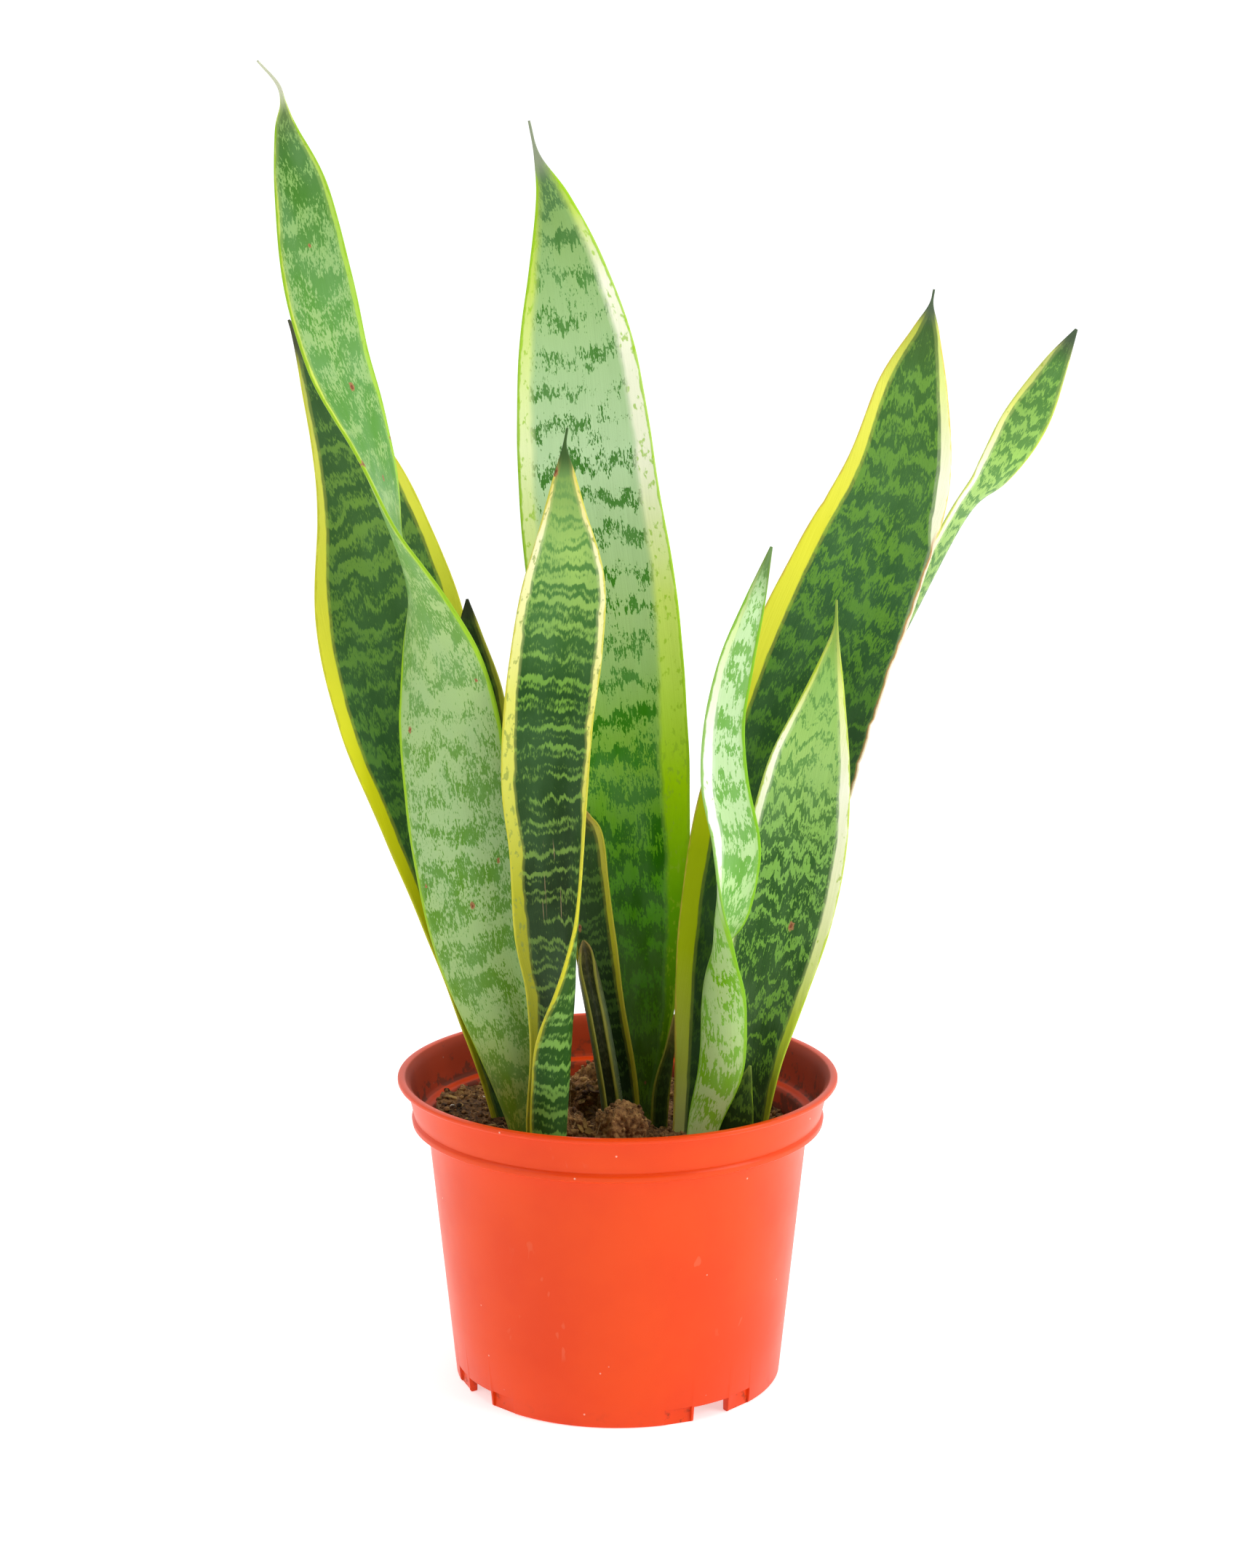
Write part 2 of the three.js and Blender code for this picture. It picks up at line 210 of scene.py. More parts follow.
def makeBands():
    # jagged cross bands: a wave along the leaf, shifted from strand to strand, broken by patches
    tree, given, out = newGroup("leafBands", {
        "Across": 0.0, "Along": 0.0, "Spacing": 10.0, "Warp": 6.0, "Jag": 2.0, "Zigzag": 0.0, "Wave": 0.4,
        "Ripple": 0.25, "Patch": 0.4, "Dash": 0.35, "Fibre": 0.35, "Coverage": 0.0, "Softness": 0.2,
        "Seed": 0.0}, ["Mask"])
    across, along, seed = given["Across"], given["Along"], given["Seed"]

    def noiseOf(width, length, detail, offset):
        return streak(tree, across, along, width, length, detail, sums(tree, "ADD", seed, offset))

    shift = sums(tree, "MULTIPLY", noiseOf(13.0, 30.0, 1.0, 0.0), given["Warp"])
    shift = sums(tree, "ADD", shift, sums(tree, "MULTIPLY", noiseOf(3.2, 11.0, 1.0, 3.1), given["Jag"]))
    shift = sums(tree, "ADD", shift, sums(tree, "MULTIPLY", noiseOf(0.8, 9.0, 1.0, 7.7), given["Jag"]))
    column = sums(tree, "ADD", across, sums(tree, "MULTIPLY", noiseOf(9.0, 40.0, 1.0, 41.0), 2.5))
    fold = sums(tree, "SUBTRACT", sums(tree, "DIVIDE", sums(tree, "PINGPONG", column, 3.6), 1.8), 1.0)
    shift = sums(tree, "ADD", shift, sums(tree, "MULTIPLY", fold, given["Zigzag"]))
    turns = sums(tree, "DIVIDE", sums(tree, "ADD", along, shift), given["Spacing"])
    wave = sums(tree, "SINE", sums(tree, "MULTIPLY", turns, 2 * math.pi))
    ripple = sums(tree, "SINE", sums(tree, "MULTIPLY", turns, 4.74 * math.pi))
    field = sums(tree, "ADD", sums(tree, "MULTIPLY", wave, given["Wave"]),
                 sums(tree, "MULTIPLY", ripple, given["Ripple"]))
    field = sums(tree, "MULTIPLY", field, fade(tree, noiseOf(17.0, 13.0, 1.0, 33.0), -0.8, 0.5, 0.4, 1.15))
    for width, length, detail, offset, amount in ((8.0, 9.0, 3.0, 12.3, "Patch"), (1.0, 4.2, 2.0, 17.1, "Dash"),
                                                  (0.42, 1.5, 2.0, 21.9, "Fibre")):
        part = sums(tree, "MULTIPLY", noiseOf(width, length, detail, offset), given[amount])
        field = sums(tree, "ADD", field, part)
    field = sums(tree, "ADD", field, given["Coverage"])
    low = sums(tree, "MULTIPLY", given["Softness"], -1.0)
    plug(tree, out["Mask"], fade(tree, field, low, given["Softness"]))
    return tree


def makeMargin():
    # the pale strip along an edge: its mask, the hazy line inside it, and green flecks on it
    tree, given, out = newGroup("leafMargin", {
        "Inside": 0.0, "Along": 0.0, "Wobble": 0.4, "Softness": 0.3, "Haze": 1.6, "Flecks": 0.0, "Seed": 0.0},
        ["Mask", "Haze", "Flecks"])
    inside, along, seed = given["Inside"], given["Along"], given["Seed"]
    drift = streak(tree, inside, along, 40.0, 16.0, 2.0, seed)
    strand = streak(tree, inside, along, 0.5, 7.0, 1.0, sums(tree, "ADD", seed, 5.2))
    edge = sums(tree, "ADD", inside, sums(tree, "MULTIPLY", drift, given["Wobble"]))
    edge = sums(tree, "ADD", edge, sums(tree, "MULTIPLY", strand, 0.12))
    mask = fade(tree, edge, sums(tree, "MULTIPLY", given["Softness"], -1.0), given["Softness"])
    haze = fade(tree, sums(tree, "ADD", edge, given["Haze"]), -0.3, 0.5)
    spots = streak(tree, inside, along, 1.7, 3.2, 3.0, sums(tree, "ADD", seed, 9.4))
    spots = fade(tree, sums(tree, "ADD", spots, given["Flecks"]), 0.55, 0.95)
    plug(tree, out["Mask"], mask)
    plug(tree, out["Haze"], haze)
    plug(tree, out["Flecks"], sums(tree, "MULTIPLY", spots, mask))
    return tree


def makeSurface():
    # fine lengthwise ridges, shallow dents and the uneven waxy gloss of the skin
    tree, given, out = newGroup("leafSurface", {"Across": 0.0, "Along": 0.0, "Seed": 0.0},
                                ["Height", "Gloss"])
    across, along, seed = given["Across"], given["Along"], given["Seed"]
    ridge = streak(tree, across, along, 0.6, 45.0, 1.0, seed)
    swell = streak(tree, across, along, 6.0, 40.0, 2.0, sums(tree, "ADD", seed, 4.4))
    pore = streak(tree, across, along, 0.35, 0.6, 2.0, sums(tree, "ADD", seed, 8.8))
    height = sums(tree, "ADD", sums(tree, "MULTIPLY", ridge, 0.12), sums(tree, "MULTIPLY", swell, 0.5))
    plug(tree, out["Height"], sums(tree, "ADD", height, sums(tree, "MULTIPLY", pore, 0.05)))
    cloud = streak(tree, across, along, 9.0, 30.0, 3.0, sums(tree, "ADD", seed, 15.5))
    plug(tree, out["Gloss"], sums(tree, "ADD", cloud, sums(tree, "MULTIPLY", pore, 0.4)))
    return tree


def makeScars():
    # small corky spots: cells of the given size, few of them filled
    tree, given, out = newGroup("leafScars", {"Across": 0.0, "Along": 0.0, "Cell": 14.0, "Share": 0.1,
                                              "Seed": 0.0}, ["Mask", "Core"])
    shifted = sums(tree, "ADD", given["Across"], sums(tree, "MULTIPLY", given["Seed"], 57.0))
    place = addNode(tree, "ShaderNodeCombineXYZ", {
        0: sums(tree, "DIVIDE", shifted, given["Cell"]),
        1: sums(tree, "DIVIDE", given["Along"], sums(tree, "MULTIPLY", given["Cell"], 1.7))})
    rough = streak(tree, given["Across"], given["Along"], 0.9, 1.1, 3.0, given["Seed"])
    cell = addNode(tree, "ShaderNodeTexVoronoi", {"Vector": place.outputs[0], "Scale": 1.0},
                   voronoi_dimensions="2D")
    pick = addNode(tree, "ShaderNodeSeparateColor", {"Color": cell.outputs["Color"]})
    chosen = sums(tree, "LESS_THAN", pick.outputs[0], given["Share"])
    size = sums(tree, "MULTIPLY", pick.outputs[1], 0.05)
    reach = sums(tree, "SUBTRACT", sums(tree, "ADD", size, 0.03), cell.outputs["Distance"])
    reach = sums(tree, "ADD", reach, sums(tree, "MULTIPLY", rough, 0.025))
    plug(tree, out["Mask"], sums(tree, "MULTIPLY", fade(tree, reach, -0.01, 0.015), chosen))
    plug(tree, out["Core"], sums(tree, "MULTIPLY", fade(tree, reach, 0.02, 0.05), chosen))
    return tree


leafBands, leafMargin, leafSurface, leafScars = makeBands(), makeMargin(), makeSurface(), makeScars()


def leafMaterial(leaf):
    material, tree, shader = newMaterial(leaf["name"] + "_skin", specular=leaf.get("sheen", 0.15))
    rows, seed = leaf["rows"], leaf["seed"]
    low, high = rows[0][2], rows[-1][2]

    def attribute(name):
        node = addNode(tree, "ShaderNodeAttribute", {}, attribute_name=name)
        return addNode(tree, "ShaderNodeSeparateXYZ", {0: node.outputs["Vector"]}).outputs

    across, along, side = attribute("blade")
    leftInside, rightInside, rim = attribute("margin")
    height, cover, tear = attribute("growth")

    def tones(stops):
        return ramp(tree, height, [((z - low) / (high - low), code) for z, code in stops])

    bands = fromGroup(tree, leafBands, across=across, along=along, coverage=cover, seed=seed,
                      **leaf["bands"])["Mask"]
    skin = blend(tree, bands, tones(leaf["ground"]), tones(leaf["band"]))
    if "backGround" in leaf:
        under = blend(tree, bands, tones(leaf["backGround"]), tones(leaf["backBand"]))
        skin = blend(tree, fade(tree, side, -0.1, 0.1), under, skin)
    cloud = streak(tree, across, along, 10.0, 26.0, 3.0, seed + 40.0)
    skin = blend(tree, sums(tree, "MULTIPLY", fade(tree, cloud, -0.9, 0.9), 0.2), skin, leaf["cloud"])

    margin = dict(wobble=0.35, haze=1.2, flecks=0.0)
    margin.update(leaf.get("margin", {}))
    for inside, tone, offset in ((leftInside, "left", 0.0), (rightInside, "right", 30.0)):
        strip = fromGroup(tree, leafMargin, inside=inside, along=along, seed=seed + offset, **margin)
        pale = tones(leaf[tone])
        haze = sums(tree, "MULTIPLY", strip["Haze"], leaf.get("hazeAmount", 0.3))
        skin = blend(tree, haze, skin, blend(tree, 0.35, pale, leaf["cloud"]))
        skin = blend(tree, strip["Mask"], skin, pale)
        skin = blend(tree, sums(tree, "MULTIPLY", strip["Flecks"], 0.75), skin, leaf["fleck"])
    drift = streak(tree, across, along, 30.0, 7.0, 3.0, seed + 60.0)
    edge = sums(tree, "ADD", rim, sums(tree, "MULTIPLY", drift, 0.45))
    line = fade(tree, edge, leaf.get("rimWidth", 0.6) + 0.25, leaf.get("rimWidth", 0.6) - 0.25)
    skin = blend(tree, sums(tree, "MULTIPLY", line, 0.85), skin, leaf["rim"])

    scars = fromGroup(tree, leafScars, across=across, along=along, cell=leaf.get("scarCell", 16.0),
                      share=leaf.get("scars", 0.04), seed=seed)
    skin = blend(tree, scars["Mask"], skin, "#a4764c")
    skin = blend(tree, scars["Core"], skin, "#7c452c")
    if "tip" in leaf:
        start, end, code = leaf["tip"]
        dry = fade(tree, height, (start - low) / (high - low), (end - low) / (high - low))
        skin = blend(tree, dry, skin, code)
    torn = sums(tree, "MULTIPLY", fade(tree, edge, 1.5, 0.7), tear)
    skin = blend(tree, torn, skin, "#c8955a")
    skin = blend(tree, sums(tree, "MULTIPLY", fade(tree, edge, 0.75, 0.35), tear), skin, "#f1e4c8")
    if "scratches" in leaf:
        mark = leaf["scratches"]
        field = streak(tree, across, along, 0.42, mark["length"], 1.0, seed + 80.0)
        far = sums(tree, "ABSOLUTE", sums(tree, "SUBTRACT", along, mark["along"]))
        aside = sums(tree, "ABSOLUTE", sums(tree, "SUBTRACT", across, mark["across"]))
        near = sums(tree, "MULTIPLY", fade(tree, far, mark["reach"], mark["reach"] * 0.6),
                    fade(tree, aside, mark["spread"], mark["spread"] * 0.6))
        near = sums(tree, "MULTIPLY", near, fade(tree, side, 0.0, 0.2))
        scratch = sums(tree, "MULTIPLY", fade(tree, field, 0.67, 0.87), near)
        skin = blend(tree, scratch, skin, "#c9a982")
    plug(tree, shader.inputs["Base Color"], skin)

    surface = fromGroup(tree, leafSurface, across=across, along=along, seed=seed)
    plug(tree, shader.inputs["Roughness"],
         fade(tree, surface["Gloss"], -1.2, 1.2, leaf.get("gloss", 0.34), leaf.get("gloss", 0.34) + 0.16))
    bump = addNode(tree, "ShaderNodeBump", {"Height": surface["Height"], "Strength": 0.5,
                                            "Distance": 0.0004})
    plug(tree, shader.inputs["Normal"], bump.outputs["Normal"])
    return material


def rowAt(rows, t):
    # smooth curve through the rows, evenly stepped from row to row
    last = len(rows) - 1
    i = min(int(t * last), last - 1)
    w = t * last - i
    p1, p2 = rows[i], rows[i + 1]
    p0 = rows[i - 1] if i > 0 else [2 * a - b for a, b in zip(p1, p2)]
    p3 = rows[i + 2] if i + 2 <= last else [2 * b - a for a, b in zip(p1, p2)]
    values = []
    for a, b, c, d in zip(p0, p1, p2, p3):
        start, end = (c - a) / 2, (d - b) / 2
        values.append(b + start * w + (3 * c - 3 * b - 2 * start - end) * w ** 2
                      + (2 * b - 2 * c + start + end) * w ** 3)
    return values


def growLeaf(leaf):
    rows, seed = leaf["rows"], leaf["seed"]
    steps = (len(rows) - 1) * leaf.get("stepsPerRow", 14)
    loop = 52  # points round the section
    edgeRound = 0.45
    bm = bmesh.new()
    blade = bm.verts.layers.float_vector.new("blade")
    margin = bm.verts.layers.float_vector.new("margin")
    growth = bm.verts.layers.float_vector.new("growth")
    bmesh.ops.create_grid(bm, x_segments=loop, y_segments=steps, size=1)

    sections = []
    along = 0.0
    for i in range(steps + 1):
        t = i / steps
        x, y, z, width, turn, curlLeft, curlRight = rowAt(rows, t)
        center = Vector((x, y, z))
        ahead, behind = rowAt(rows, min(t + 1e-4, 1)), rowAt(rows, max(t - 1e-4, 0))
        tangent = (Vector(ahead[:3]) - Vector(behind[:3])).normalized()
        if sections:
            along += (center - sections[-1]["center"]).length
        turn = math.radians(turn)
        across = Vector((math.cos(turn), math.sin(turn), 0))
        across = (across - across.dot(tangent) * tangent).normalized()
        sections.append(dict(center=center, across=across, face=across.cross(tangent), along=along,
                             width=max(width, 0.7), curls=(math.radians(curlLeft), math.radians(curlRight)),
                             height=(z - rows[0][2]) / (rows[-1][2] - rows[0][2])))

    for vert in bm.verts:
        section = sections[round((vert.co.y + 1) / 2 * steps)]
        angle = (vert.co.x + 1) * math.pi
        q, lift = -math.cos(angle), math.sin(angle)
        edge = -1 if q < 0 else 1
        center, z = section["center"], section["center"].z
        half = section["width"] / 2
        curl = section["curls"][0 if q < 0 else 1]
        for where, depth, length in leaf.get("nicks", ()):
            if where[0] == edge:
                half -= depth * math.exp(-((z - where[1]) / length) ** 2) * abs(q) ** 3
        bend = abs(q) * curl
        flat = abs(curl) < 0.01
        aside = abs(q) * half if flat else half / curl * math.sin(bend)
        forward = 0 if flat else half / curl * (1 - math.cos(bend))
        normal = -edge * math.sin(bend) * section["across"] + math.cos(bend) * section["face"]
        middle = max(0.9, leaf["thick"] * min(1, section["width"] / 14))
        thickness = 0.9 + (middle - 0.9) * (1 - q * q)
        rim = half * (1 - abs(q))
        if rim < edgeRound:
            thickness *= math.sqrt(max(0, 1 - (1 - rim / edgeRound) ** 2))
        side = 1 if lift >= 0 else -1
        if abs(lift) < 1e-5:
            thickness = 0
        wave = noise.noise(Vector((edge * 3 + seed, section["along"] / 24, seed))) * leaf.get("wave", 0.8)
        wave *= abs(q) ** 2 * min(1, half / 8)
        vert.co = (center + edge * aside * section["across"] + forward * section["face"]
                   + (side * thickness / 2 + wave) * normal)
        vert[blade] = (q * section["width"] / 2, section["along"], side if thickness else 0)
        left, right = between(leaf["margins"], z)
        span = section["width"] / 2
        # the green edge line fades out where the blade narrows to its tip
        vert[margin] = (left - span * (1 + q), right - span * (1 - q),
                        span * (1 - abs(q)) + max(0, 4 - span) * 0.7)
        torn = between(leaf["tear"], z)[0] if "tear" in leaf and q > 0 else 0
        vert[growth] = (section["height"], between(leaf["cover"], z)[0], torn)

    bmesh.ops.remove_doubles(bm, verts=bm.verts, dist=1e-4)
    bmesh.ops.holes_fill(bm, edges=[e for e in bm.edges if e.is_boundary], sides=0)
    bmesh.ops.recalc_face_normals(bm, faces=bm.faces)
    bmesh.ops.scale(bm, vec=(mm, mm, mm), verts=bm.verts)
    bmesh.ops.translate(bm, vec=(potX, potY, 0), verts=bm.verts)
    return finishPiece(leaf["name"], bm, leafMaterial(leaf), [leaf["node"]])


# Each leaf: rows from the base up are x, y, z of the midrib, width, turn of the face (0 is the front),
# curl of the left and right half. Colour stops and margin widths (left, right) go by the row's z.

tallLeft = dict(
    name="tall_left_blade", node="leaf_tall_left", slot="leaf_pale", thick=3.4, seed=1.0, wave=1.0,
    rows=[(-33, -28, 84, 13, 175, 70, 70), (-35, -28, 107, 17, 175, 60, 60), (-42, -27, 140, 29, 178, 50, 50),
          (-51, -26, 173, 36, 180, 35, 35), (-57, -24, 207, 39, 180, 25, 25), (-61, -22, 240, 41, 172, 20, 20),
          (-65, -20, 272, 40, 155, 18, 18), (-72, -19, 304, 37, 122, 18, 18), (-82, -18, 332, 34, 92, 15, 15),
          (-91, -16, 362, 31, 68, 15, 15), (-102, -15, 392, 28, 38, 15, 15), (-109, -13, 423, 26, 18, 15, 15),
          (-114, -11, 454, 20, 5, 15, 15), (-119, -10, 475, 9, 0, 10, 10), (-120, -10, 485, 2.5, 0, 5, 5),
          (-122, -10, 492, 1.4, 0, 0, 0), (-129, -10, 500, 0.8, 0, 0, 0)],
    ground=[(84, "#697e1e"), (300, "#94b86a"), (415, "#96bc70"), (470, "#87b35e"), (484, "#789051"),
            (490, "#aab680"), (500, "#d9e2af")],
    band=[(84, "#506d12"), (300, "#599438"), (415, "#579436"), (470, "#45782c"), (486, "#667844"),
          (500, "#ccd6a2")],
    backGround=[(84, "#a4b23a"), (110, "#90a638"), (150, "#9cbc6c"), (215, "#a4c284"), (300, "#a4c47a")],
    backBand=[(84, "#6a8418"), (150, "#5d8e14"), (215, "#598e24"), (255, "#66963b"), (330, "#71a34d")],
    left=[(84, "#8fae20"), (300, "#9ccb2a"), (380, "#cfe05a"), (480, "#b9cf60")],
    right=[(84, "#8fae20"), (300, "#9ccb2a"), (440, "#a9cf52"), (480, "#b9cf60")],
    margins=[(84, 0.8, 0.8), (200, 1.2, 1.2), (300, 1.6, 1.6), (380, 1.2, 2.0), (450, 1.0, 1.8),
             (485, 0.3, 0.3)],
    cover=[(84, -0.1), (140, 0.05), (190, 0.0), (230, -0.1), (265, -0.3), (300, 0.1), (350, 0.3), (410, 0.05),
           (440, 0.15), (470, 0.35)],
    bands=dict(spacing=15.0, warp=6.5, jag=2.4, wave=0.34, ripple=0.14, patch=0.55, dash=0.5, fibre=0.7,
               softness=0.18),
    rim="#8dbb1e", fleck="#8cae3c", cloud="#8fb48a", scars=0.22, scarCell=14.0, tip=(481, 491, "#c4c8ac"))

rearLeft = dict(
    name="rear_left_blade", node="leaf_rear_left", slot="leaf_dark", thick=3.2, seed=2.0,
    rows=[(-37, -4, 84, 13, 10, 65, 65), (-41, -5, 104, 18, 10, 55, 55), (-48, -4, 139, 25, 10, 40, 40),
          (-58, -2, 179, 34, 10, 30, 30), (-68, 2, 218, 45, 10, 22, 22), (-79, 6, 258, 55, 10, 18, 18),
          (-87, 10, 297, 56, 8, 15, 15), (-94, 14, 335, 40, 5, 15, 15), (-102, 16, 360, 27, 0, 12, 12),
          (-112, 18, 385, 15, 0, 10, 10), (-120, 18, 401, 4, 0, 5, 5), (-123, 18, 407, 0.9, 0, 0, 0)],
    ground=[(84, "#38571e"), (180, "#4d7c2a"), (250, "#5a8c34"), (330, "#6d943c"), (380, "#688d40"),
            (400, "#556b44")],
    band=[(84, "#284618"), (250, "#30592a"), (330, "#3c612f"), (385, "#385731"), (405, "#455238")],
    left=[(84, "#8f9a1a"), (180, "#c6ca08"), (240, "#e2e414"), (300, "#ecea44"), (360, "#e2e060"),
          (400, "#a8b060")],
    right=[(84, "#8f9a1a"), (240, "#c9cb1e"), (330, "#e8e84a"), (400, "#a8b060")],
    margins=[(84, 1.4, 1.4), (150, 2.6, 2.6), (220, 4.8, 4.5), (300, 5.2, 5.0), (350, 2.4, 3.5), (395, 1.0, 1.2),
             (407, 0, 0)],
    cover=[(84, 0.2), (250, 0.1), (330, 0.05), (370, 0.3), (395, 0.6)],
    bands=dict(spacing=11.5, warp=4.5, jag=1.4, zigzag=1.0, wave=0.42, ripple=0.28, patch=0.42, dash=0.35,
               fibre=0.45, softness=0.3),
    margin=dict(flecks=-0.35), rim="#c9c832", fleck="#9a9a1e", cloud="#5c8450", tip=(388, 400, "#4c4e3c"))

innerLeft = dict(
    name="inner_left_blade", node="leaf_inner_left", slot="leaf_dark", thick=2.4, seed=3.0,
    rows=[(-34, -15, 84, 9, 0, 70, 70), (-36, -15, 107, 12, 0, 60, 60), (-39, -13, 148, 15, 0, 40, 40),
          (-43, -11, 188, 18, 0, 30, 30), (-46, -9, 228, 20, 0, 22, 22), (-51, -8, 267, 18, 0, 18, 18),
          (-55, -7, 292, 9, 0, 12, 12), (-56, -6, 305, 1, 0, 0, 0)],
    ground=[(84, "#314e1f"), (220, "#436927"), (270, "#476d29"), (300, "#45572e")],
    band=[(84, "#203612"), (250, "#2c481c"), (300, "#364429")],
    left=[(84, "#7c8a22"), (250, "#98a42e"), (300, "#6c7440")],
    right=[(84, "#9a9a20"), (250, "#c8c838"), (290, "#b0ac48")],
    margins=[(84, 0.8, 1.2), (250, 1.0, 2.6), (295, 0.4, 0.8), (305, 0, 0)],
    cover=[(84, 0.2), (300, 0.2)],
    bands=dict(spacing=8.0, warp=4.0, jag=1.4), rim="#b3b038", fleck="#8c8c24", cloud="#4c6c40",
    tip=(294, 302, "#3e4230"))

frontCenter = dict(
    name="front_center_blade", node="leaf_front_center", slot="leaf_dark", thick=2.4, seed=4.0, wave=0.6,
    rows=[(-21, -41, 84, 34, -80, 110, 150), (-20, -41, 111, 37, -80, 110, 155), (-18.5, -39, 137, 38, -80, 100, 145),
          (-18.5, -37, 163, 37, -52, 55, 115), (-21.5, -36, 187, 35, -25, 42, 90), (-23, -34, 215, 34, -8, 22, 80),
          (-26, -32, 240, 34, 0, 22, 45), (-25, -31, 265, 34, 0, 20, 25), (-22, -29, 290, 34, 0, 18, 18),
          (-19, -28, 315, 30, 0, 18, 18), (-19, -27, 339, 16, 0, 12, 12), (-19, -26, 353, 8, 0, 8, 8),
          (-19, -26, 363, 1.8, 0, 0, 0), (-18, -26, 370, 0.8, 0, 0, 0)],
    ground=[(84, "#516f22"), (205, "#75963f"), (275, "#6f9e39"), (325, "#9fc566"), (350, "#88ab58"),
            (362, "#51702e"), (370, "#435523")],
    band=[(84, "#253d12"), (205, "#1c340e"), (275, "#234a18"), (310, "#477834"), (330, "#649648"),
          (350, "#739c53"), (370, "#454e2b")],
    backGround=[(84, "#597a27"), (135, "#7eb04c"), (200, "#7ea34d")],
    backBand=[(84, "#233d0d"), (135, "#225208"), (200, "#325316")],
    left=[(84, "#a5a824"), (200, "#b9bb2e"), (270, "#dfe06a"), (330, "#f6f4c0"), (350, "#e6d878"),
          (365, "#b8a048")],
    right=[(84, "#a5a824"), (200, "#d5d030"), (270, "#f0ec80"), (320, "#faf8c4"), (350, "#e6d878"),
           (365, "#b8a048")],
    margins=[(84, 1.6, 1.2), (180, 4.6, 1.5), (250, 4.6, 1.7), (300, 3.2, 2.2), (340, 1.8, 1.6), (354, 0.8, 0.8),
             (358, 0, 0)],
    cover=[(84, 0.1), (180, 0.45), (240, 0.45), (275, 0.2), (290, 0.3), (310, -0.1), (345, -0.25), (358, 0.6)],
    bands=dict(spacing=9.0, warp=2.0, jag=0.65, zigzag=0.8, wave=0.42, ripple=0.4, patch=0.4, dash=0.35,
               fibre=0.4, softness=0.38),
    margin=dict(flecks=0.3, haze=1.0, wobble=0.8), rim="#cdc83a", fleck="#8c9c48", cloud="#5f8a58",
    rimWidth=0.4, scratches=dict(along=120, across=-3, reach=17, spread=7, length=32),
    tip=(352, 361, "#3c5a2a"))

tallCenter = dict(
    name="tall_center_blade", node="leaf_tall_center", slot="leaf_pale", thick=4, seed=5.0, wave=1.0,
    rows=[(9, 12, 84, 15, 0, 75, 75), (8, 12, 103, 17, 0, 72, 72), (9, 13, 125, 24, 0, 60, 60),
          (8, 15, 150, 34, 0, 48, 48), (4, 17, 199, 50, 0, 33, 33), (0, 19, 248, 56, 0, 26, 26),
          (-5, 22, 297, 58, 0, 22, 22), (-11, 24, 344, 54, 0, 20, 20), (-15, 26, 391, 46, 0, 18, 18),
          (-19, 28, 425, 30, 0, 15, 15), (-24, 29, 450, 14, 0, 12, 12), (-30, 30, 467, 2.6, 0, 5, 5),
          (-33, 30, 480, 0.9, 0, 0, 0)],
    ground=[(84, "#7ca024"), (150, "#4c9000"), (190, "#5aa800"), (240, "#80b82e"), (290, "#a8ca7e"),
            (355, "#bedcaa"), (420, "#98bc78"), (455, "#7ba052"), (466, "#66784c"), (480, "#8c8c7c")],
    band=[(84, "#5a7c16"), (190, "#2c6c00"), (240, "#348002"), (295, "#40821c"), (360, "#3e7828"),
          (420, "#50863a"), (455, "#446c38"), (480, "#6c6c5e")],
    left=[(84, "#4e6a18"), (180, "#62a000"), (240, "#90b824"), (300, "#c8de6a"), (360, "#e8f4b8"),
          (420, "#c6dc62"), (460, "#9cb848")],
    right=[(84, "#4e6a18"), (180, "#74b800"), (230, "#b0e000"), (300, "#d2e870"), (350, "#f4f7d8"),
           (420, "#f6f8dc"), (445, "#c0d860"), (465, "#84a848")],
    margins=[(84, 0.5, 0.5), (150, 2.0, 5.0), (200, 3.6, 9.0), (240, 5.0, 11.5), (300, 5.6, 8.4), (360, 5.8, 6.5),
             (410, 4.0, 5.2), (450, 1.2, 2.4), (462, 0.2, 0.6), (468, 0, 0)],
    cover=[(84, 0.2), (140, 0.1), (200, 0.08), (240, 0.0), (280, -0.3), (400, -0.4), (440, -0.3), (462, 0.3)],
    bands=dict(spacing=14.0, warp=4.0, jag=2.2, zigzag=1.0, wave=0.5, ripple=0.12, patch=0.55, dash=0.5,
               fibre=0.6, softness=0.1),
    margin=dict(flecks=0.28, haze=1.6, wobble=0.7, softness=1.2), rim="#9ccb20", fleck="#9cc92c", cloud="#96bd84",
    rimWidth=0.9, scars=0.02, sheen=0.05, tip=(457, 467, "#8f997e"))

shortCenter = dict(
    name="short_center_blade", node="leaf_short_center", slot="leaf_dark", thick=2.4, seed=6.0,
    rows=[(2, 5, 84, 13, 0, 65, 65), (2, 5, 107, 15, 0, 60, 60), (-3, 6, 136, 16, 0, 45, 45),
          (-8, 6, 165, 17, 0, 35, 35), (-11, 7, 194, 16, 0, 28, 28), (-12, 7, 212, 13, 0, 18, 18),
          (-13, 7, 219, 6, 0, 10, 10), (-14, 7, 223, 1, 0, 0, 0)],
    ground=[(84, "#31461f"), (150, "#456724"), (210, "#587e31"), (222, "#827734")],
    band=[(84, "#1c2c12"), (150, "#1c3610"), (210, "#31521e"), (222, "#645727")],
    left=[(84, "#7c8220"), (210, "#98a030"), (222, "#b0904c")],
    right=[(84, "#a8a422"), (180, "#c4bf2c"), (214, "#c8be4c"), (222, "#b0904c")],
    margins=[(84, 0.8, 1.6), (200, 1.0, 2.0), (218, 1.2, 2.4), (223, 0.5, 0.5)],
    cover=[(84, 0.3), (200, 0.2)],
    bands=dict(spacing=9.0, warp=2.6, jag=1.0, wave=0.4, ripple=0.4), rim="#b8b030",
    fleck="#8c8c24", cloud="#4a6440")

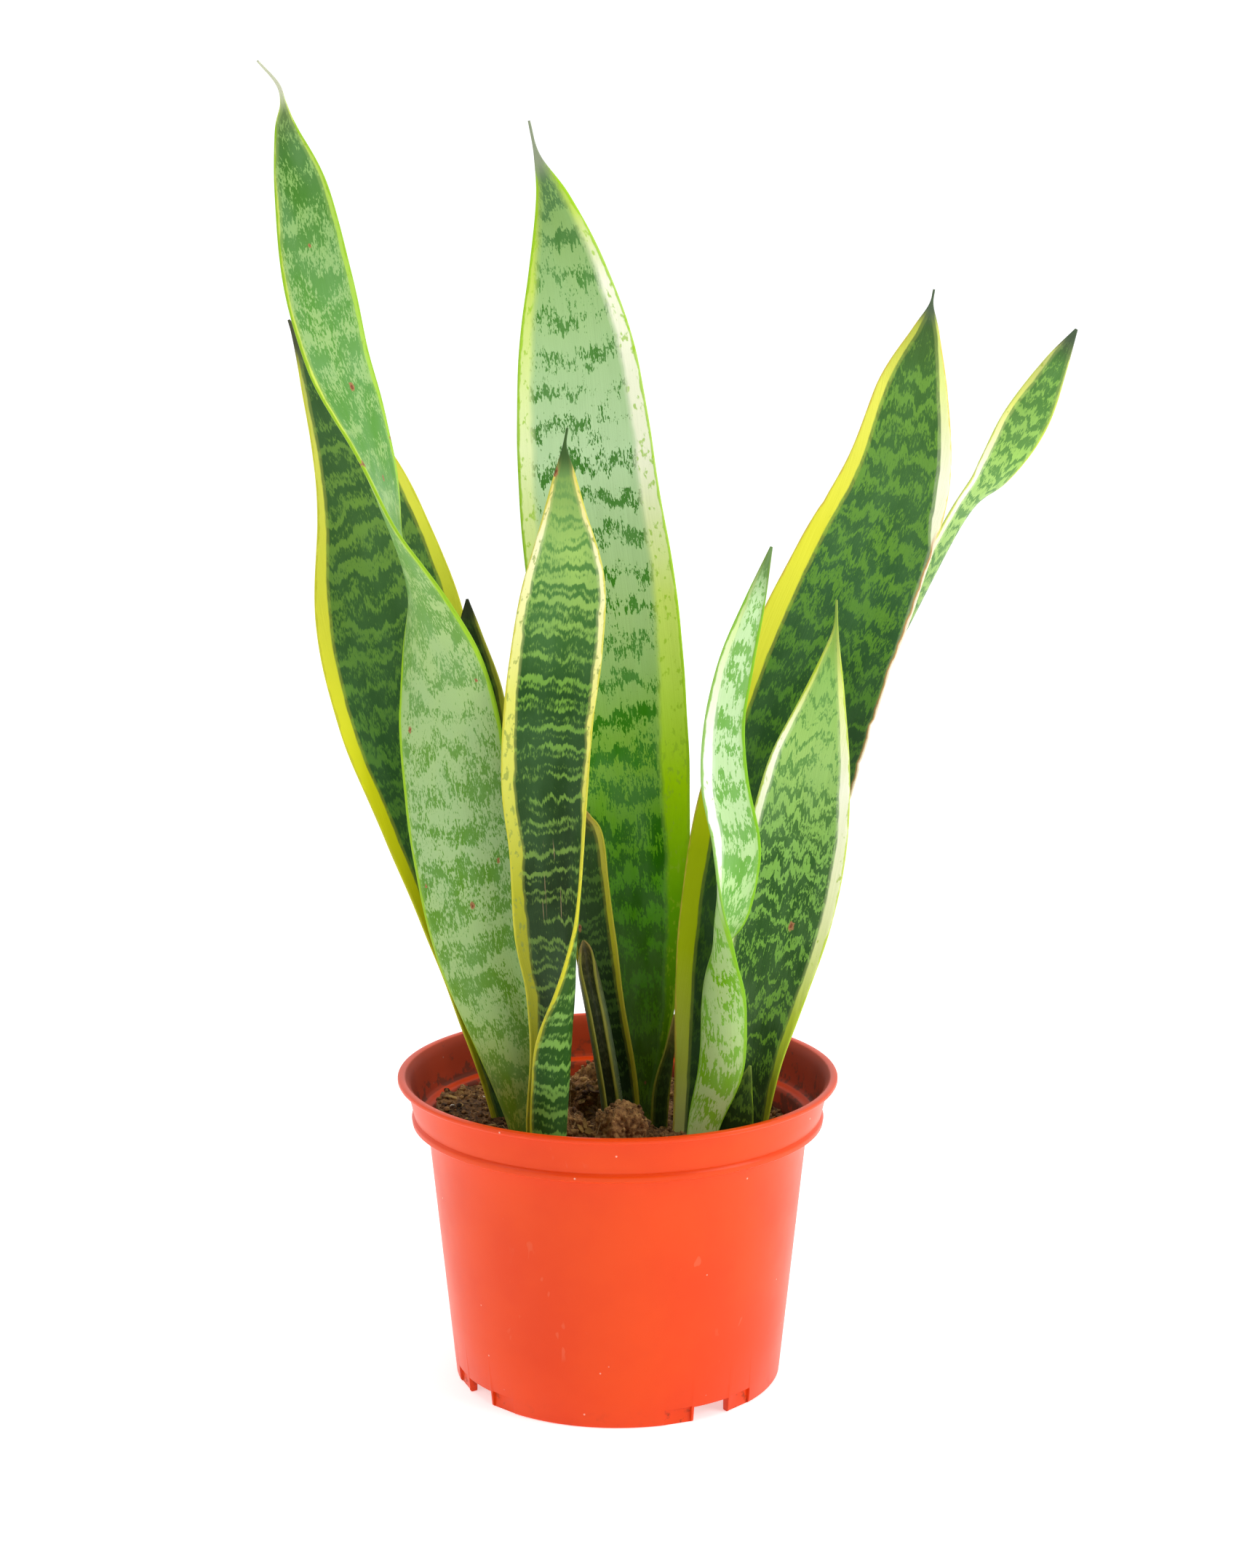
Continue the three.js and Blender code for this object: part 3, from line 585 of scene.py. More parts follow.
spearCenter = dict(
    name="spear_center_blade", node="leaf_spear_center", slot="leaf_dark", thick=1.6, seed=7.0, wave=0.2,
    rows=[(-1, -4, 84, 18, 0, 150, 150), (-2, -4, 108, 19, 0, 150, 150), (-7, -4, 140, 19, 0, 150, 150),
          (-11, -3, 160, 16, 0, 140, 140), (-12, -3, 168, 8, 0, 100, 100), (-13, -3, 173, 1, 0, 20, 20)],
    ground=[(84, "#66764a"), (150, "#7e8c5a"), (172, "#736734")],
    band=[(84, "#4c5c38"), (150, "#64724a"), (172, "#554a27")],
    left=[(84, "#6f7428"), (150, "#8f9038"), (172, "#9a8448")],
    right=[(84, "#6f7428"), (150, "#8f9038"), (172, "#9a8448")],
    backGround=[(84, "#46553a"), (150, "#5c6c46"), (172, "#7a6a44")],
    backBand=[(84, "#3a4834"), (150, "#4c5c3e"), (172, "#5a4c34")],
    margins=[(84, 0.9, 0.9), (160, 1.0, 1.0), (173, 0.4, 0.4)],
    cover=[(84, 0.1), (173, 0.1)],
    bands=dict(spacing=7.0, warp=2.0, jag=1.0, wave=0.3, patch=0.3), rim="#9c9a40", fleck="#70702a",
    cloud="#56684c", gloss=0.24)

sproutCenter = dict(
    name="sprout_center_blade", node="leaf_sprout_center", slot="leaf_dark", thick=1.6, seed=8.0, wave=0.2,
    rows=[(16, -2, 84, 7, 0, 40, 40), (16, -2, 99, 7, 0, 40, 40), (17, -2, 114, 7, 0, 35, 35),
          (20, -1, 129, 4, 0, 25, 25), (22, -1, 143, 1, 0, 0, 0)],
    ground=[(84, "#294017"), (125, "#425f21"), (142, "#97863e")],
    band=[(84, "#1c2e0f"), (125, "#2d4616"), (142, "#826d31")],
    left=[(84, "#6a7424"), (130, "#a0a038"), (142, "#b89c58")],
    right=[(84, "#4a5c22"), (130, "#6c7830"), (142, "#b89c58")],
    margins=[(84, 0.8, 0.4), (143, 0.4, 0.2)],
    cover=[(84, 0.2), (143, 0.2)],
    bands=dict(spacing=6.0, warp=2.0, jag=1.0, wave=0.4, patch=0.3), rim="#8c9030", fleck="#70702a",
    cloud="#48603c")

broadRight = dict(
    name="broad_right_blade", node="leaf_broad_right", slot="leaf_dark", thick=3.6, seed=9.0, wave=0.8,
    rows=[(30, -4, 84, 25, 0, 62, 62), (33, -2, 99, 28, 0, 58, 58), (40, 1, 136, 40, 0, 42, 50),
          (47, 4, 173, 50, -5, 32, 55), (57, 7, 209, 60, -5, 25, 55), (66, 10, 245, 59, -3, 22, 42),
          (77, 13, 280, 56, 0, 20, 30), (91, 16, 313, 51, 0, 18, 22), (105, 19, 346, 42, 0, 18, 18),
          (111, 22, 380, 28, 0, 15, 15), (116, 24, 402, 11, 0, 10, 10), (118, 25, 412, 2, 0, 0, 0),
          (119, 25, 418, 0.8, 0, 0, 0)],
    ground=[(84, "#335016"), (200, "#3a6018"), (270, "#528229"), (310, "#5e8f31"), (385, "#69963b"),
            (405, "#577831"), (416, "#475731")],
    band=[(84, "#1e3412"), (270, "#294e24"), (310, "#345d31"), (385, "#426b2f"), (405, "#405d2c"),
          (416, "#38482b")],
    left=[(84, "#c9cf8a"), (120, "#bcc848"), (165, "#b0c200"), (200, "#a8ba00"), (240, "#c6ce10"),
          (270, "#dcdc3c"), (320, "#e0de3a"), (380, "#dfe05a"), (412, "#a8b448")],
    right=[(84, "#5c7a3c"), (280, "#9cb878"), (300, "#eef2c4"), (350, "#f6f7d8"), (385, "#e2ec8c"),
           (412, "#b8c858")],
    margins=[(84, 5.0, 0.2), (165, 7.0, 0.3), (240, 8.4, 0.4), (280, 8.6, 0.5), (330, 5.8, 0.7), (338, 5.6, 4.2),
             (350, 5.0, 4.4), (380, 3.6, 3.0), (402, 2.2, 1.2), (412, 0.6, 0.4), (418, 0, 0)],
    cover=[(84, 0.2), (230, 0.2), (310, 0.1), (360, -0.05), (385, 0.05), (400, 0.5)],
    tear=[(190, 0.0), (215, 0.8), (330, 1.0), (336, 0.0)],
    nicks=[((1, 262), 0.9, 2.2), ((1, 248), 0.7, 1.6), ((1, 286), 0.6, 1.4), ((1, 232), 0.5, 1.5),
           ((1, 333), 0.8, 2.4), ((-1, 330), 0.3, 2.0)],
    bands=dict(spacing=11.0, warp=5.0, jag=1.8, zigzag=2.2, wave=0.42, ripple=0.25, patch=0.45, dash=0.35,
               fibre=0.5, softness=0.25),
    margin=dict(flecks=-0.5, haze=1.4, wobble=0.3), rim="#d8c24a", fleck="#a5aa1c", cloud="#5c8850",
    rimWidth=0.3, scars=0.03, tip=(403, 411, "#53634a"))

farRight = dict(
    name="far_right_blade", node="leaf_far_right", slot="leaf_dark", thick=2.8, seed=10.0, wave=0.8,
    rows=[(42, 18, 84, 18, 10, 60, 60), (47, 21, 112, 21, 10, 50, 50), (59, 27, 160, 24, 15, 30, 25),
          (74, 33, 208, 26, 30, 15, 0), (92, 38, 252, 26, 45, 5, -30), (113, 42, 292, 24, 55, 0, -50),
          (133, 46, 330, 20, 52, 0, -50), (146, 48, 347, 20, 30, 5, -25), (158, 50, 367, 19, 10, 5, -8),
          (169, 51, 388, 10, 0, 5, 0), (177, 52, 402, 1.2, 0, 0, 0)],
    ground=[(84, "#456727"), (250, "#6f943c"), (335, "#9fc36b"), (355, "#93bf59"), (388, "#7bab48"),
            (402, "#55673e")],
    band=[(84, "#294617"), (250, "#3c652c"), (335, "#598841"), (355, "#57883b"), (388, "#477834"),
          (402, "#445230")],
    left=[(84, "#a0a84c"), (300, "#e0e6a0"), (340, "#f8f8d8"), (370, "#e6ea7a"), (400, "#a8b070")],
    right=[(84, "#a0a84c"), (300, "#c0cc60"), (360, "#b8d03c"), (400, "#a8b070")],
    margins=[(84, 1.5, 0.8), (250, 2.5, 1.0), (340, 2.4, 1.1), (380, 1.8, 0.9), (396, 0.8, 0.4), (402, 0, 0)],
    cover=[(84, 0.1), (330, -0.05), (370, 0.1), (392, 0.4)],
    bands=dict(spacing=7.0, warp=3.0, jag=1.5, zigzag=1.6, wave=0.48, ripple=0.2, patch=0.32, dash=0.35,
               fibre=0.45, softness=0.2),
    rim="#d0dc60", fleck="#a8b84a", cloud="#84ac6c", rimWidth=0.3, tip=(390, 399, "#4a5a42"))

twistedRight = dict(
    name="twisted_right_blade", node="leaf_twisted_right", slot="leaf_pale", thick=2.6, seed=11.0, wave=0.5,
    rows=[(30, -38, 84, 12, 175, 60, 60), (32, -38, 109, 14, 172, 60, 60), (38, -38, 132, 19, 165, 45, 45),
          (38, -38, 155, 21, 150, 45, 45), (36, -39, 172, 24, 110, 70, 45), (38, -40, 189, 25, 55, 110, 40),
          (42, -42, 207, 21, 28, 60, 25), (43, -43, 221, 19, 12, 35, 25), (39, -45, 243, 18, 5, 25, 20),
          (39, -47, 266, 15, 0, 20, 20), (43, -49, 288, 13, 0, 15, 15), (49, -51, 309, 8, 0, 10, 10),
          (55, -53, 330, 1, 0, 0, 0)],
    ground=[(84, "#8fa848"), (150, "#93b758"), (200, "#b2d68e"), (255, "#c6e6ac"), (310, "#c8e8ae"),
            (325, "#668844")],
    band=[(84, "#699017"), (150, "#6fa11f"), (200, "#69a73e"), (255, "#6faf46"), (310, "#79b351"),
          (325, "#456531")],
    backGround=[(84, "#bccf80"), (150, "#b2d084"), (200, "#a9cc80")],
    backBand=[(84, "#84ae10"), (150, "#72b00c"), (200, "#6caa20")],
    left=[(84, "#7cae20"), (190, "#8cc42c"), (215, "#f6fae8"), (250, "#fbfdf4"), (300, "#d4eca0"),
          (325, "#6c8c40")],
    right=[(84, "#7cae20"), (190, "#8cc42c"), (250, "#84c030"), (325, "#6c8c40")],
    margins=[(84, 1.0, 1.0), (180, 1.4, 1.2), (215, 3.6, 1.0), (250, 4.2, 1.0), (300, 2.2, 0.9),
             (325, 0.5, 0.5), (330, 0, 0)],
    cover=[(84, 0.0), (160, -0.1), (200, 0.0), (260, -0.08), (318, 0.0), (324, 0.6)],
    bands=dict(spacing=14.0, warp=5.0, jag=2.4, zigzag=1.5, wave=0.34, ripple=0.1, patch=0.5, dash=0.6,
               fibre=0.4, softness=0.12),
    rim="#7cb81c", fleck="#94c43c", cloud="#a8cf94", rimWidth=0.7)

frontRight = dict(
    name="front_right_blade", node="leaf_front_right", slot="leaf_pale", thick=2.8, seed=12.0, wave=0.6,
    rows=[(49, -19, 84, 14, 0, 65, 65), (49, -20, 105, 18, 0, 55, 55), (51, -20, 134, 26, 0, 40, 40),
          (56, -21, 162, 34, 0, 28, 28), (62, -22, 190, 39, 0, 22, 22), (67, -24, 218, 38, 0, 20, 20),
          (71, -26, 246, 31, 0, 18, 18), (76, -28, 272, 16, 0, 12, 12), (79, -30, 291, 5, 0, 8, 8),
          (80, -30, 299, 1.6, 0, 0, 0), (80, -31, 308, 0.8, 0, 0, 0)],
    ground=[(84, "#6c9c2a"), (110, "#5c8428"), (145, "#6a9c28"), (210, "#7eb14b"), (250, "#9dc668"),
            (280, "#8fbd58"), (295, "#80a33b"), (308, "#66882e")],
    band=[(84, "#3c5c1c"), (110, "#243e12"), (145, "#244a12"), (210, "#255414"), (250, "#669848"),
          (280, "#649641"), (308, "#57782e")],
    left=[(84, "#90a828"), (160, "#b4cc5c"), (200, "#ecf2c0"), (250, "#f6f8dc"), (275, "#d8e478"),
          (300, "#90a83c")],
    right=[(84, "#9cb428"), (150, "#c6da3c"), (190, "#e6ecb0"), (240, "#f6f8dc"), (275, "#dce688"),
           (300, "#90a83c")],
    margins=[(84, 1.0, 1.4), (150, 1.8, 3.2), (200, 2.8, 4.2), (240, 3.0, 3.8), (272, 1.6, 2.4), (290, 0.9, 1.2),
             (300, 0.3, 0.3)],
    cover=[(84, 0.35), (140, 0.3), (190, 0.22), (225, 0.05), (255, -0.3), (290, -0.4)],
    bands=dict(spacing=9.5, warp=4.0, jag=2.0, zigzag=2.4, wave=0.5, ripple=0.3, patch=0.4, dash=0.4,
               fibre=0.5, softness=0.18),
    margin=dict(flecks=0.0, haze=1.0), rim="#b4cc30", fleck="#a8c43c", cloud="#86b070", rimWidth=0.5)

sproutRight = dict(
    name="sprout_right_blade", node="leaf_sprout_right", slot="leaf_dark", thick=1.8, seed=13.0, wave=0.3,
    rows=[(41, -29, 84, 12, 0, -40, -40), (43, -29, 102, 17, 0, -40, -40), (45, -29, 114, 14, 0, -35, -35),
          (48, -29, 124, 6, 0, -20, -20), (50, -29, 131, 1, 0, 0, 0)],
    ground=[(84, "#3c591a"), (120, "#577c27"), (130, "#66882e")],
    band=[(84, "#1e3212"), (120, "#294617"), (130, "#38551e")],
    left=[(84, "#86a82a"), (120, "#8cb82c"), (130, "#90a848")],
    right=[(84, "#5c7c24"), (120, "#6c9028"), (130, "#90a848")],
    margins=[(84, 1.2, 0.6), (131, 0.5, 0.3)],
    cover=[(84, 0.3), (131, 0.1)],
    bands=dict(spacing=7.0, warp=3.0, jag=1.6, wave=0.5, patch=0.4), rim="#8cb42c", fleck="#7c9a2c",
    cloud="#4c6c3c")

leaves = [tallLeft, rearLeft, innerLeft, frontCenter, tallCenter, shortCenter, spearCenter, sproutCenter,
          broadRight, farRight, twistedRight, frontRight, sproutRight]
for leaf in leaves:
    growLeaf(leaf)
print("leaves grown:", len(leaves))


# pot: one lathed wall with a rolled rim, then the gaps, panels and drain slots cut from its foot

potSize = dict(
    profile=[(0, 6.5), (60.0, 6.5), (60.4, 6.1), (60.4, 0.3), (60.7, 0), (62.6, 0), (63.1, 0.2), (63.45, 0.7),
             (66.0, 25.6), (68.6, 51), (71.1, 76), (73.5, 99.8), (73.9, 101), (74.7, 101.35), (78.3, 101.5),
             (79.1, 101.6), (79.5, 101.95), (79.75, 103.6), (79.5, 104.2), (78.75, 104.9), (80.1, 110.6),
             (81.0, 116.6), (81.3, 117.4), (82.0, 117.85), (84.1, 117.95), (84.7, 118.2), (85.0, 118.7),
             (85.0, 119.4), (84.8, 119.8), (84.3, 120), (82.9, 120), (82.0, 119.7), (80.9, 118.7), (80.2, 117.6),
             (79.6, 116), (78.6, 110.4), (77.7, 105.0), (77.3, 104.2), (76.4, 103.6), (75.0, 103.3),
             (73.4, 102.8), (72.4, 102.2), (72.0, 101.2), (69.0, 70.8), (65.9, 40), (62.9, 9.5), (62.5, 8.7),
             (61.8, 8.3), (0, 8.3)],
    steps=192, footRadius=63.4, gaps=4, firstGap=34, gapWidth=16, gapHeight=6, panelWidth=11, panelDepth=1,
    panelAngle=13, slotWidth=12, slotLength=9)


def turnedBox(size, center, degrees):
    bm = bmesh.new()
    bmesh.ops.create_cube(bm, size=1)
    bmesh.ops.scale(bm, vec=size, verts=bm.verts)
    bmesh.ops.translate(bm, vec=center, verts=bm.verts)
    bmesh.ops.rotate(bm, matrix=Matrix.Rotation(math.radians(degrees), 3, "Z"), verts=bm.verts)
    return bm


def cutBoxes(bm, boxes):
    # takes the boxes out of the solid and gives the result as a new bmesh
    meshes = []
    for part in [bm] + boxes:
        mesh = bpy.data.meshes.new("cutting")
        part.to_mesh(mesh)
        part.free()
        meshes.append(mesh)
    holder = bpy.data.objects.new("cutting", meshes[0])
    bpy.context.scene.collection.objects.link(holder)
    cutters = bpy.data.collections.new("cutters")
    bpy.context.scene.collection.children.link(cutters)
    for mesh in meshes[1:]:
        cutters.objects.link(bpy.data.objects.new("cutter", mesh))
    modifier = holder.modifiers.new("cut", "BOOLEAN")
    modifier.operation, modifier.operand_type = "DIFFERENCE", "COLLECTION"
    modifier.collection, modifier.solver = cutters, "EXACT"
    bpy.context.view_layer.update()
    done = holder.evaluated_get(bpy.context.evaluated_depsgraph_get()).to_mesh()
    result = bmesh.new()
    result.from_mesh(done)
    for thing in list(cutters.objects) + [holder]:
        bpy.data.objects.remove(thing)
    bpy.data.collections.remove(cutters)
    for mesh in meshes:
        bpy.data.meshes.remove(mesh)
    return result


def makeDust():
    # fine pale specks, short scuffs and a soft cloud of noise
    tree, given, out = newGroup("plasticWear", {"Place": (0.0, 0.0, 0.0), "Scuff": 0.5},
                                ["Specks", "Scuffs", "Cloud"])
    fine = addNode(tree, "ShaderNodeTexVoronoi", {"Vector": given["Place"], "Scale": 330.0})
    pick = addNode(tree, "ShaderNodeSeparateColor", {"Color": fine.outputs["Color"]})
    specks = sums(tree, "MULTIPLY", fade(tree, fine.outputs["Distance"], 0.16, 0.06),
                  sums(tree, "LESS_THAN", pick.outputs[0], 0.035))
    plug(tree, out["Specks"], specks)
    warp = addNode(tree, "ShaderNodeTexNoise", {"Vector": given["Place"], "Scale": 30.0, "Detail": 2.0})
    stretched = addNode(tree, "ShaderNodeVectorMath", {0: given["Place"], 1: (300.0, 300.0, 150.0)},
                        operation="MULTIPLY")
    bent = addNode(tree, "ShaderNodeVectorMath", {0: stretched.outputs[0], 1: warp.outputs["Color"]},
                   operation="ADD")
    lines = grain(tree, bent.outputs[0], 1.0, 1.0)
    areas = fade(tree, grain(tree, given["Place"], 24.0, 2.0), 0.58, 0.68)
    scuffs = sums(tree, "MULTIPLY", fade(tree, lines, 0.7, 0.76), areas)
    plug(tree, out["Scuffs"], sums(tree, "MULTIPLY", scuffs, given["Scuff"]))
    plug(tree, out["Cloud"], grain(tree, given["Place"], 14.0, 4.0, 0.6))
    return tree


def potPlastic():
    material, tree, shader = newMaterial("pot_plastic", specular=0.24)
    coordinates = addNode(tree, "ShaderNodeTexCoord", {}).outputs
    place = coordinates["Object"]
    parts = addNode(tree, "ShaderNodeSeparateXYZ", {0: place}).outputs
    fromAxis = addNode(tree, "ShaderNodeVectorMath", {0: place, 1: (potX, potY, 0)}, operation="SUBTRACT")
    flat = addNode(tree, "ShaderNodeVectorMath", {0: fromAxis.outputs[0], 1: (1, 1, 0)}, operation="MULTIPLY")
    radius = addNode(tree, "ShaderNodeVectorMath", {0: flat.outputs[0]}, operation="LENGTH").outputs["Value"]
    outward = addNode(tree, "ShaderNodeVectorMath", {0: flat.outputs[0]}, operation="NORMALIZE").outputs[0]
    facing = addNode(tree, "ShaderNodeVectorMath", {0: outward, 1: coordinates["Normal"]},
                     operation="DOT_PRODUCT").outputs["Value"]
    wear = fromGroup(tree, makeDust(), place=place, scuff=0.25)
    base = blend(tree, fade(tree, wear["Cloud"], 0.35, 0.65), "#e84806", "#e24003")
    # the body is a little paler where it has rubbed against its neighbours
    color = blend(tree, sums(tree, "MULTIPLY", wear["Scuffs"], 0.6), base, "#f09a78")
    color = blend(tree, sums(tree, "MULTIPLY", wear["Specks"], 0.7), color, "#f3cdb8")
    # soil washed into the foot gaps and over the floor inside
    dirtNoise = grain(tree, place, 160.0, 4.0, 0.65)
    low = sums(tree, "MULTIPLY", fade(tree, parts[2], 0.009, 0.002), fade(tree, dirtNoise, 0.52, 0.66))
    notOuter = fade(tree, radius, 0.0632, 0.0622)
    low = sums(tree, "MULTIPLY", low, sums(tree, "MAXIMUM", notOuter, 0.12))
    color = blend(tree, low, color, "#4a2c1a")
    # painted shade: the whole inward-facing wall is darkened to a deeper red, as shade inside the pot; dust and dried
    # drips of soil on the wall above the soil go over it
    inner = fade(tree, facing, -0.3, -0.6)
    soiled = fade(tree, sums(tree, "ADD", dirtNoise, fade(tree, parts[2], 0.116, 0.098, -0.05, 0.14)), 0.55, 0.66)
    # painted shade: a deeper red on every inward-facing face of the wall
    color = blend(tree, sums(tree, "MULTIPLY", inner, 0.7), color, "#92300f")
    color = blend(tree, sums(tree, "MULTIPLY", sums(tree, "MULTIPLY", inner, soiled), 0.65), color, "#4c2e1c")
    plug(tree, shader.inputs["Base Color"], color)
    rough = fade(tree, wear["Cloud"], 0.3, 0.7, 0.3, 0.4)
    rough = sums(tree, "ADD", rough, sums(tree, "MULTIPLY", sums(tree, "MAXIMUM", wear["Scuffs"], inner), 0.3))
    plug(tree, shader.inputs["Roughness"], sums(tree, "ADD", rough, sums(tree, "MULTIPLY", low, 0.4)))
    ripple = sums(tree, "ADD", sums(tree, "MULTIPLY", grain(tree, place, 9.0, 1.0), 1.0),
                  sums(tree, "MULTIPLY", grain(tree, place, 900.0, 2.0), 0.04))
    ripple = sums(tree, "SUBTRACT", ripple, sums(tree, "MULTIPLY", wear["Scuffs"], 0.1))
    bump = addNode(tree, "ShaderNodeBump", {"Height": ripple, "Strength": 0.35, "Distance": 0.0006})
    plug(tree, shader.inputs["Normal"], bump.outputs["Normal"])
    return material


def mouldPot(size):
    bm = bmesh.new()
    points = [bm.verts.new((r, 0, z)) for r, z in size["profile"]]
    edges = [bm.edges.new(pair) for pair in zip(points, points[1:])]
    bmesh.ops.spin(bm, geom=points + edges, cent=(0, 0, 0), axis=(0, 0, 1), angle=2 * math.pi,
                   steps=size["steps"], use_merge=True)
    bmesh.ops.remove_doubles(bm, verts=bm.verts, dist=1e-3)
    bmesh.ops.recalc_face_normals(bm, faces=bm.faces)
    boxes = []
    for i in range(size["gaps"]):
        angle = size["firstGap"] + i * 360 / size["gaps"]
        deep = size["gapHeight"] + 1
        boxes.append(turnedBox((size["gapWidth"], 14, deep), (0, -size["footRadius"], deep / 2 - 1), angle))
        boxes.append(turnedBox((size["slotWidth"], size["slotLength"], 4),
                               (0, -size["footRadius"] + 4 + size["slotLength"] / 2, 7.4), angle))
        for side in (-1, 1):
            boxes.append(turnedBox((size["panelWidth"], 6, 7.5),
                                   (0, -size["footRadius"] + size["panelDepth"] - 3, 2.75),
                                   angle + side * size["panelAngle"]))
    bm = cutBoxes(bm, boxes)
    sharp = [e for e in bm.edges if len(e.link_faces) == 2 and e.calc_face_angle(0) > math.radians(50)
             and max(v.co.z for v in e.verts) < 8.4]
    bmesh.ops.bevel(bm, geom=sharp, offset=0.25, offset_type="OFFSET", segments=2, profile=0.5, affect="EDGES",
                    material=-1, clamp_overlap=True)
    bmesh.ops.scale(bm, vec=(mm, mm, mm), verts=bm.verts)
    bmesh.ops.translate(bm, vec=(potX, potY, 0), verts=bm.verts)
    return finishPiece("nursery_pot_shell", bm, potPlastic(), ["nursery_pot"], sharpAngle=38)


mouldPot(potSize)
print("pot moulded")


# soil: a crumbly fill with half sunk clods, then loose crumbs, bark, grit and roots on top

soilSize = dict(level=98, radius=71.1, clodReach=70.4, floor=8.7, floorRadius=62.2, steps=300, rings=84, seed=11)
clodSizes = [  # place, half sizes, lumps, rounding
    ("soil_clod_1", (2, -22, 101), (14, 9, 13), 1), ("soil_clod_2", (-19, -14, 101), (6, 8, 10), 2),
    ("soil_clod_3", (-15, 18, 101), (10, 8, 10), 3), ("soil_clod_4", (-12, 42, 99), (11, 9, 10), 4),
    ("soil_clod_5", (-58, 12, 99), (8, 10, 9), 5), ("soil_clod_6", (-48, 34, 99), (9, 8, 9), 6),
    ("soil_clod_7", (-34, -55, 101), (9, 7, 9), 7)]


def crumbly(point, size):
    # rounded crumbs of a given size, from 0 in the cracks to 1 on top
    distance = noise.voronoi(point / size)[0][0]
    return 1 - min(distance * 1.25, 1) ** 2


def soilTop(x, y):
    mounds = 1.3 * math.sin(x / 9 + 1) * math.cos(y / 11) + 0.8 * math.sin((x + y) / 5)
    heap = 9.5 * max(0, (-x - 26) / 44) ** 1.3 * max(0, 1 - abs(y + 8) / 70)
    point = Vector((x, y, 0))
    rough = (1.6 * noise.fractal(point / 9, 1.0, 2.0, 3) + 1.1 * crumbly(point, 4) + 0.8 * crumbly(point, 2)
             + 0.5 * noise.fractal(point / 1.6, 1.0, 2.0, 2))
    return soilSize["level"] + mounds - 0.03 * x + heap + rough - 0.8


def earth(name, dry=0.0):
    # peat and bark fines; the tone attribute varies it from crumb to crumb
    material, tree, shader = newMaterial(name, specular=0.25)
    place = addNode(tree, "ShaderNodeTexCoord", {}).outputs["Object"]
    tone = addNode(tree, "ShaderNodeAttribute", {}, attribute_name="tone").outputs["Fac"]
    patch = grain(tree, place, 55.0, 3.0)
    fine = grain(tree, place, 700.0, 3.0, 0.65)
    mixed = sums(tree, "ADD", sums(tree, "MULTIPLY", tone, 0.45), sums(tree, "MULTIPLY", patch, 0.5))
    mixed = sums(tree, "ADD", mixed, sums(tree, "MULTIPLY", sums(tree, "SUBTRACT", fine, 0.5), 0.9))
    mixed = sums(tree, "ADD", mixed, dry)
    color = ramp(tree, mixed, [(0.12, "#24170e"), (0.32, "#49301d"), (0.5, "#72502f"), (0.66, "#956b40"),
                               (0.85, "#b98f58")])
    plug(tree, shader.inputs["Base Color"], color)
    plug(tree, shader.inputs["Roughness"], fade(tree, fine, 0.3, 0.7, 0.75, 0.98))
    height = sums(tree, "ADD", fine, sums(tree, "MULTIPLY", grain(tree, place, 1900.0, 2.0), 0.5))
    bump = addNode(tree, "ShaderNodeBump", {"Height": height, "Strength": 0.8, "Distance": 0.0006})
    plug(tree, shader.inputs["Normal"], bump.outputs["Normal"])
    return material


def plainSpeck(name, light, dark, roughness, scale=900.0):
    material, tree, shader = newMaterial(name, roughness=roughness, specular=0.3)
    place = addNode(tree, "ShaderNodeTexCoord", {}).outputs["Object"]
    fine = grain(tree, place, scale, 3.0, 0.65)
    tone = addNode(tree, "ShaderNodeAttribute", {}, attribute_name="tone").outputs["Fac"]
    mixed = sums(tree, "ADD", fine, sums(tree, "MULTIPLY", sums(tree, "SUBTRACT", tone, 0.5), 0.4))
    plug(tree, shader.inputs["Base Color"], blend(tree, fade(tree, mixed, 0.3, 0.7), dark, light))
    bump = addNode(tree, "ShaderNodeBump", {"Height": fine, "Strength": 0.7, "Distance": 0.0004})
    plug(tree, shader.inputs["Normal"], bump.outputs["Normal"])
    return material


def fillSoil(size):
    bm = bmesh.new()
    tone = bm.verts.layers.float.new("tone")
    outline = [(size["radius"] * i / size["rings"], size["level"]) for i in range(size["rings"] + 1)]
    outline += [(70.9, 94), (68.5, 70), (65.6, 40), (size["floorRadius"], 11), (size["floorRadius"] - 1, 8.7),
                (40, 8.7), (0, 8.7)]
    points = [bm.verts.new((r, 0, z)) for r, z in outline]
    edges = [bm.edges.new(pair) for pair in zip(points, points[1:])]
    bmesh.ops.spin(bm, geom=points + edges, cent=(0, 0, 0), axis=(0, 0, 1), angle=2 * math.pi,
                   steps=size["steps"], use_merge=True)
    bmesh.ops.remove_doubles(bm, verts=bm.verts, dist=1e-3)
    bmesh.ops.recalc_face_normals(bm, faces=bm.faces)
    for vert in bm.verts:
        x, y, z = vert.co
        if z > size["level"] - 0.5:
            reach = math.hypot(x, y)
            top = soilTop(x, y)
            vert.co.z = top if reach < 70.8 else min(top, 99) - 1
            vert[tone] = 0.35 + 0.35 * crumbly(Vector((x, y, 0)), 5)
            side = noise.noise_vector(Vector((x, y, 7)) / 2.5) * 0.35
            if 1 < reach < 70:
                vert.co.x += side.x
                vert.co.y += side.y
        else:
            vert[tone] = 0.3
    return bm


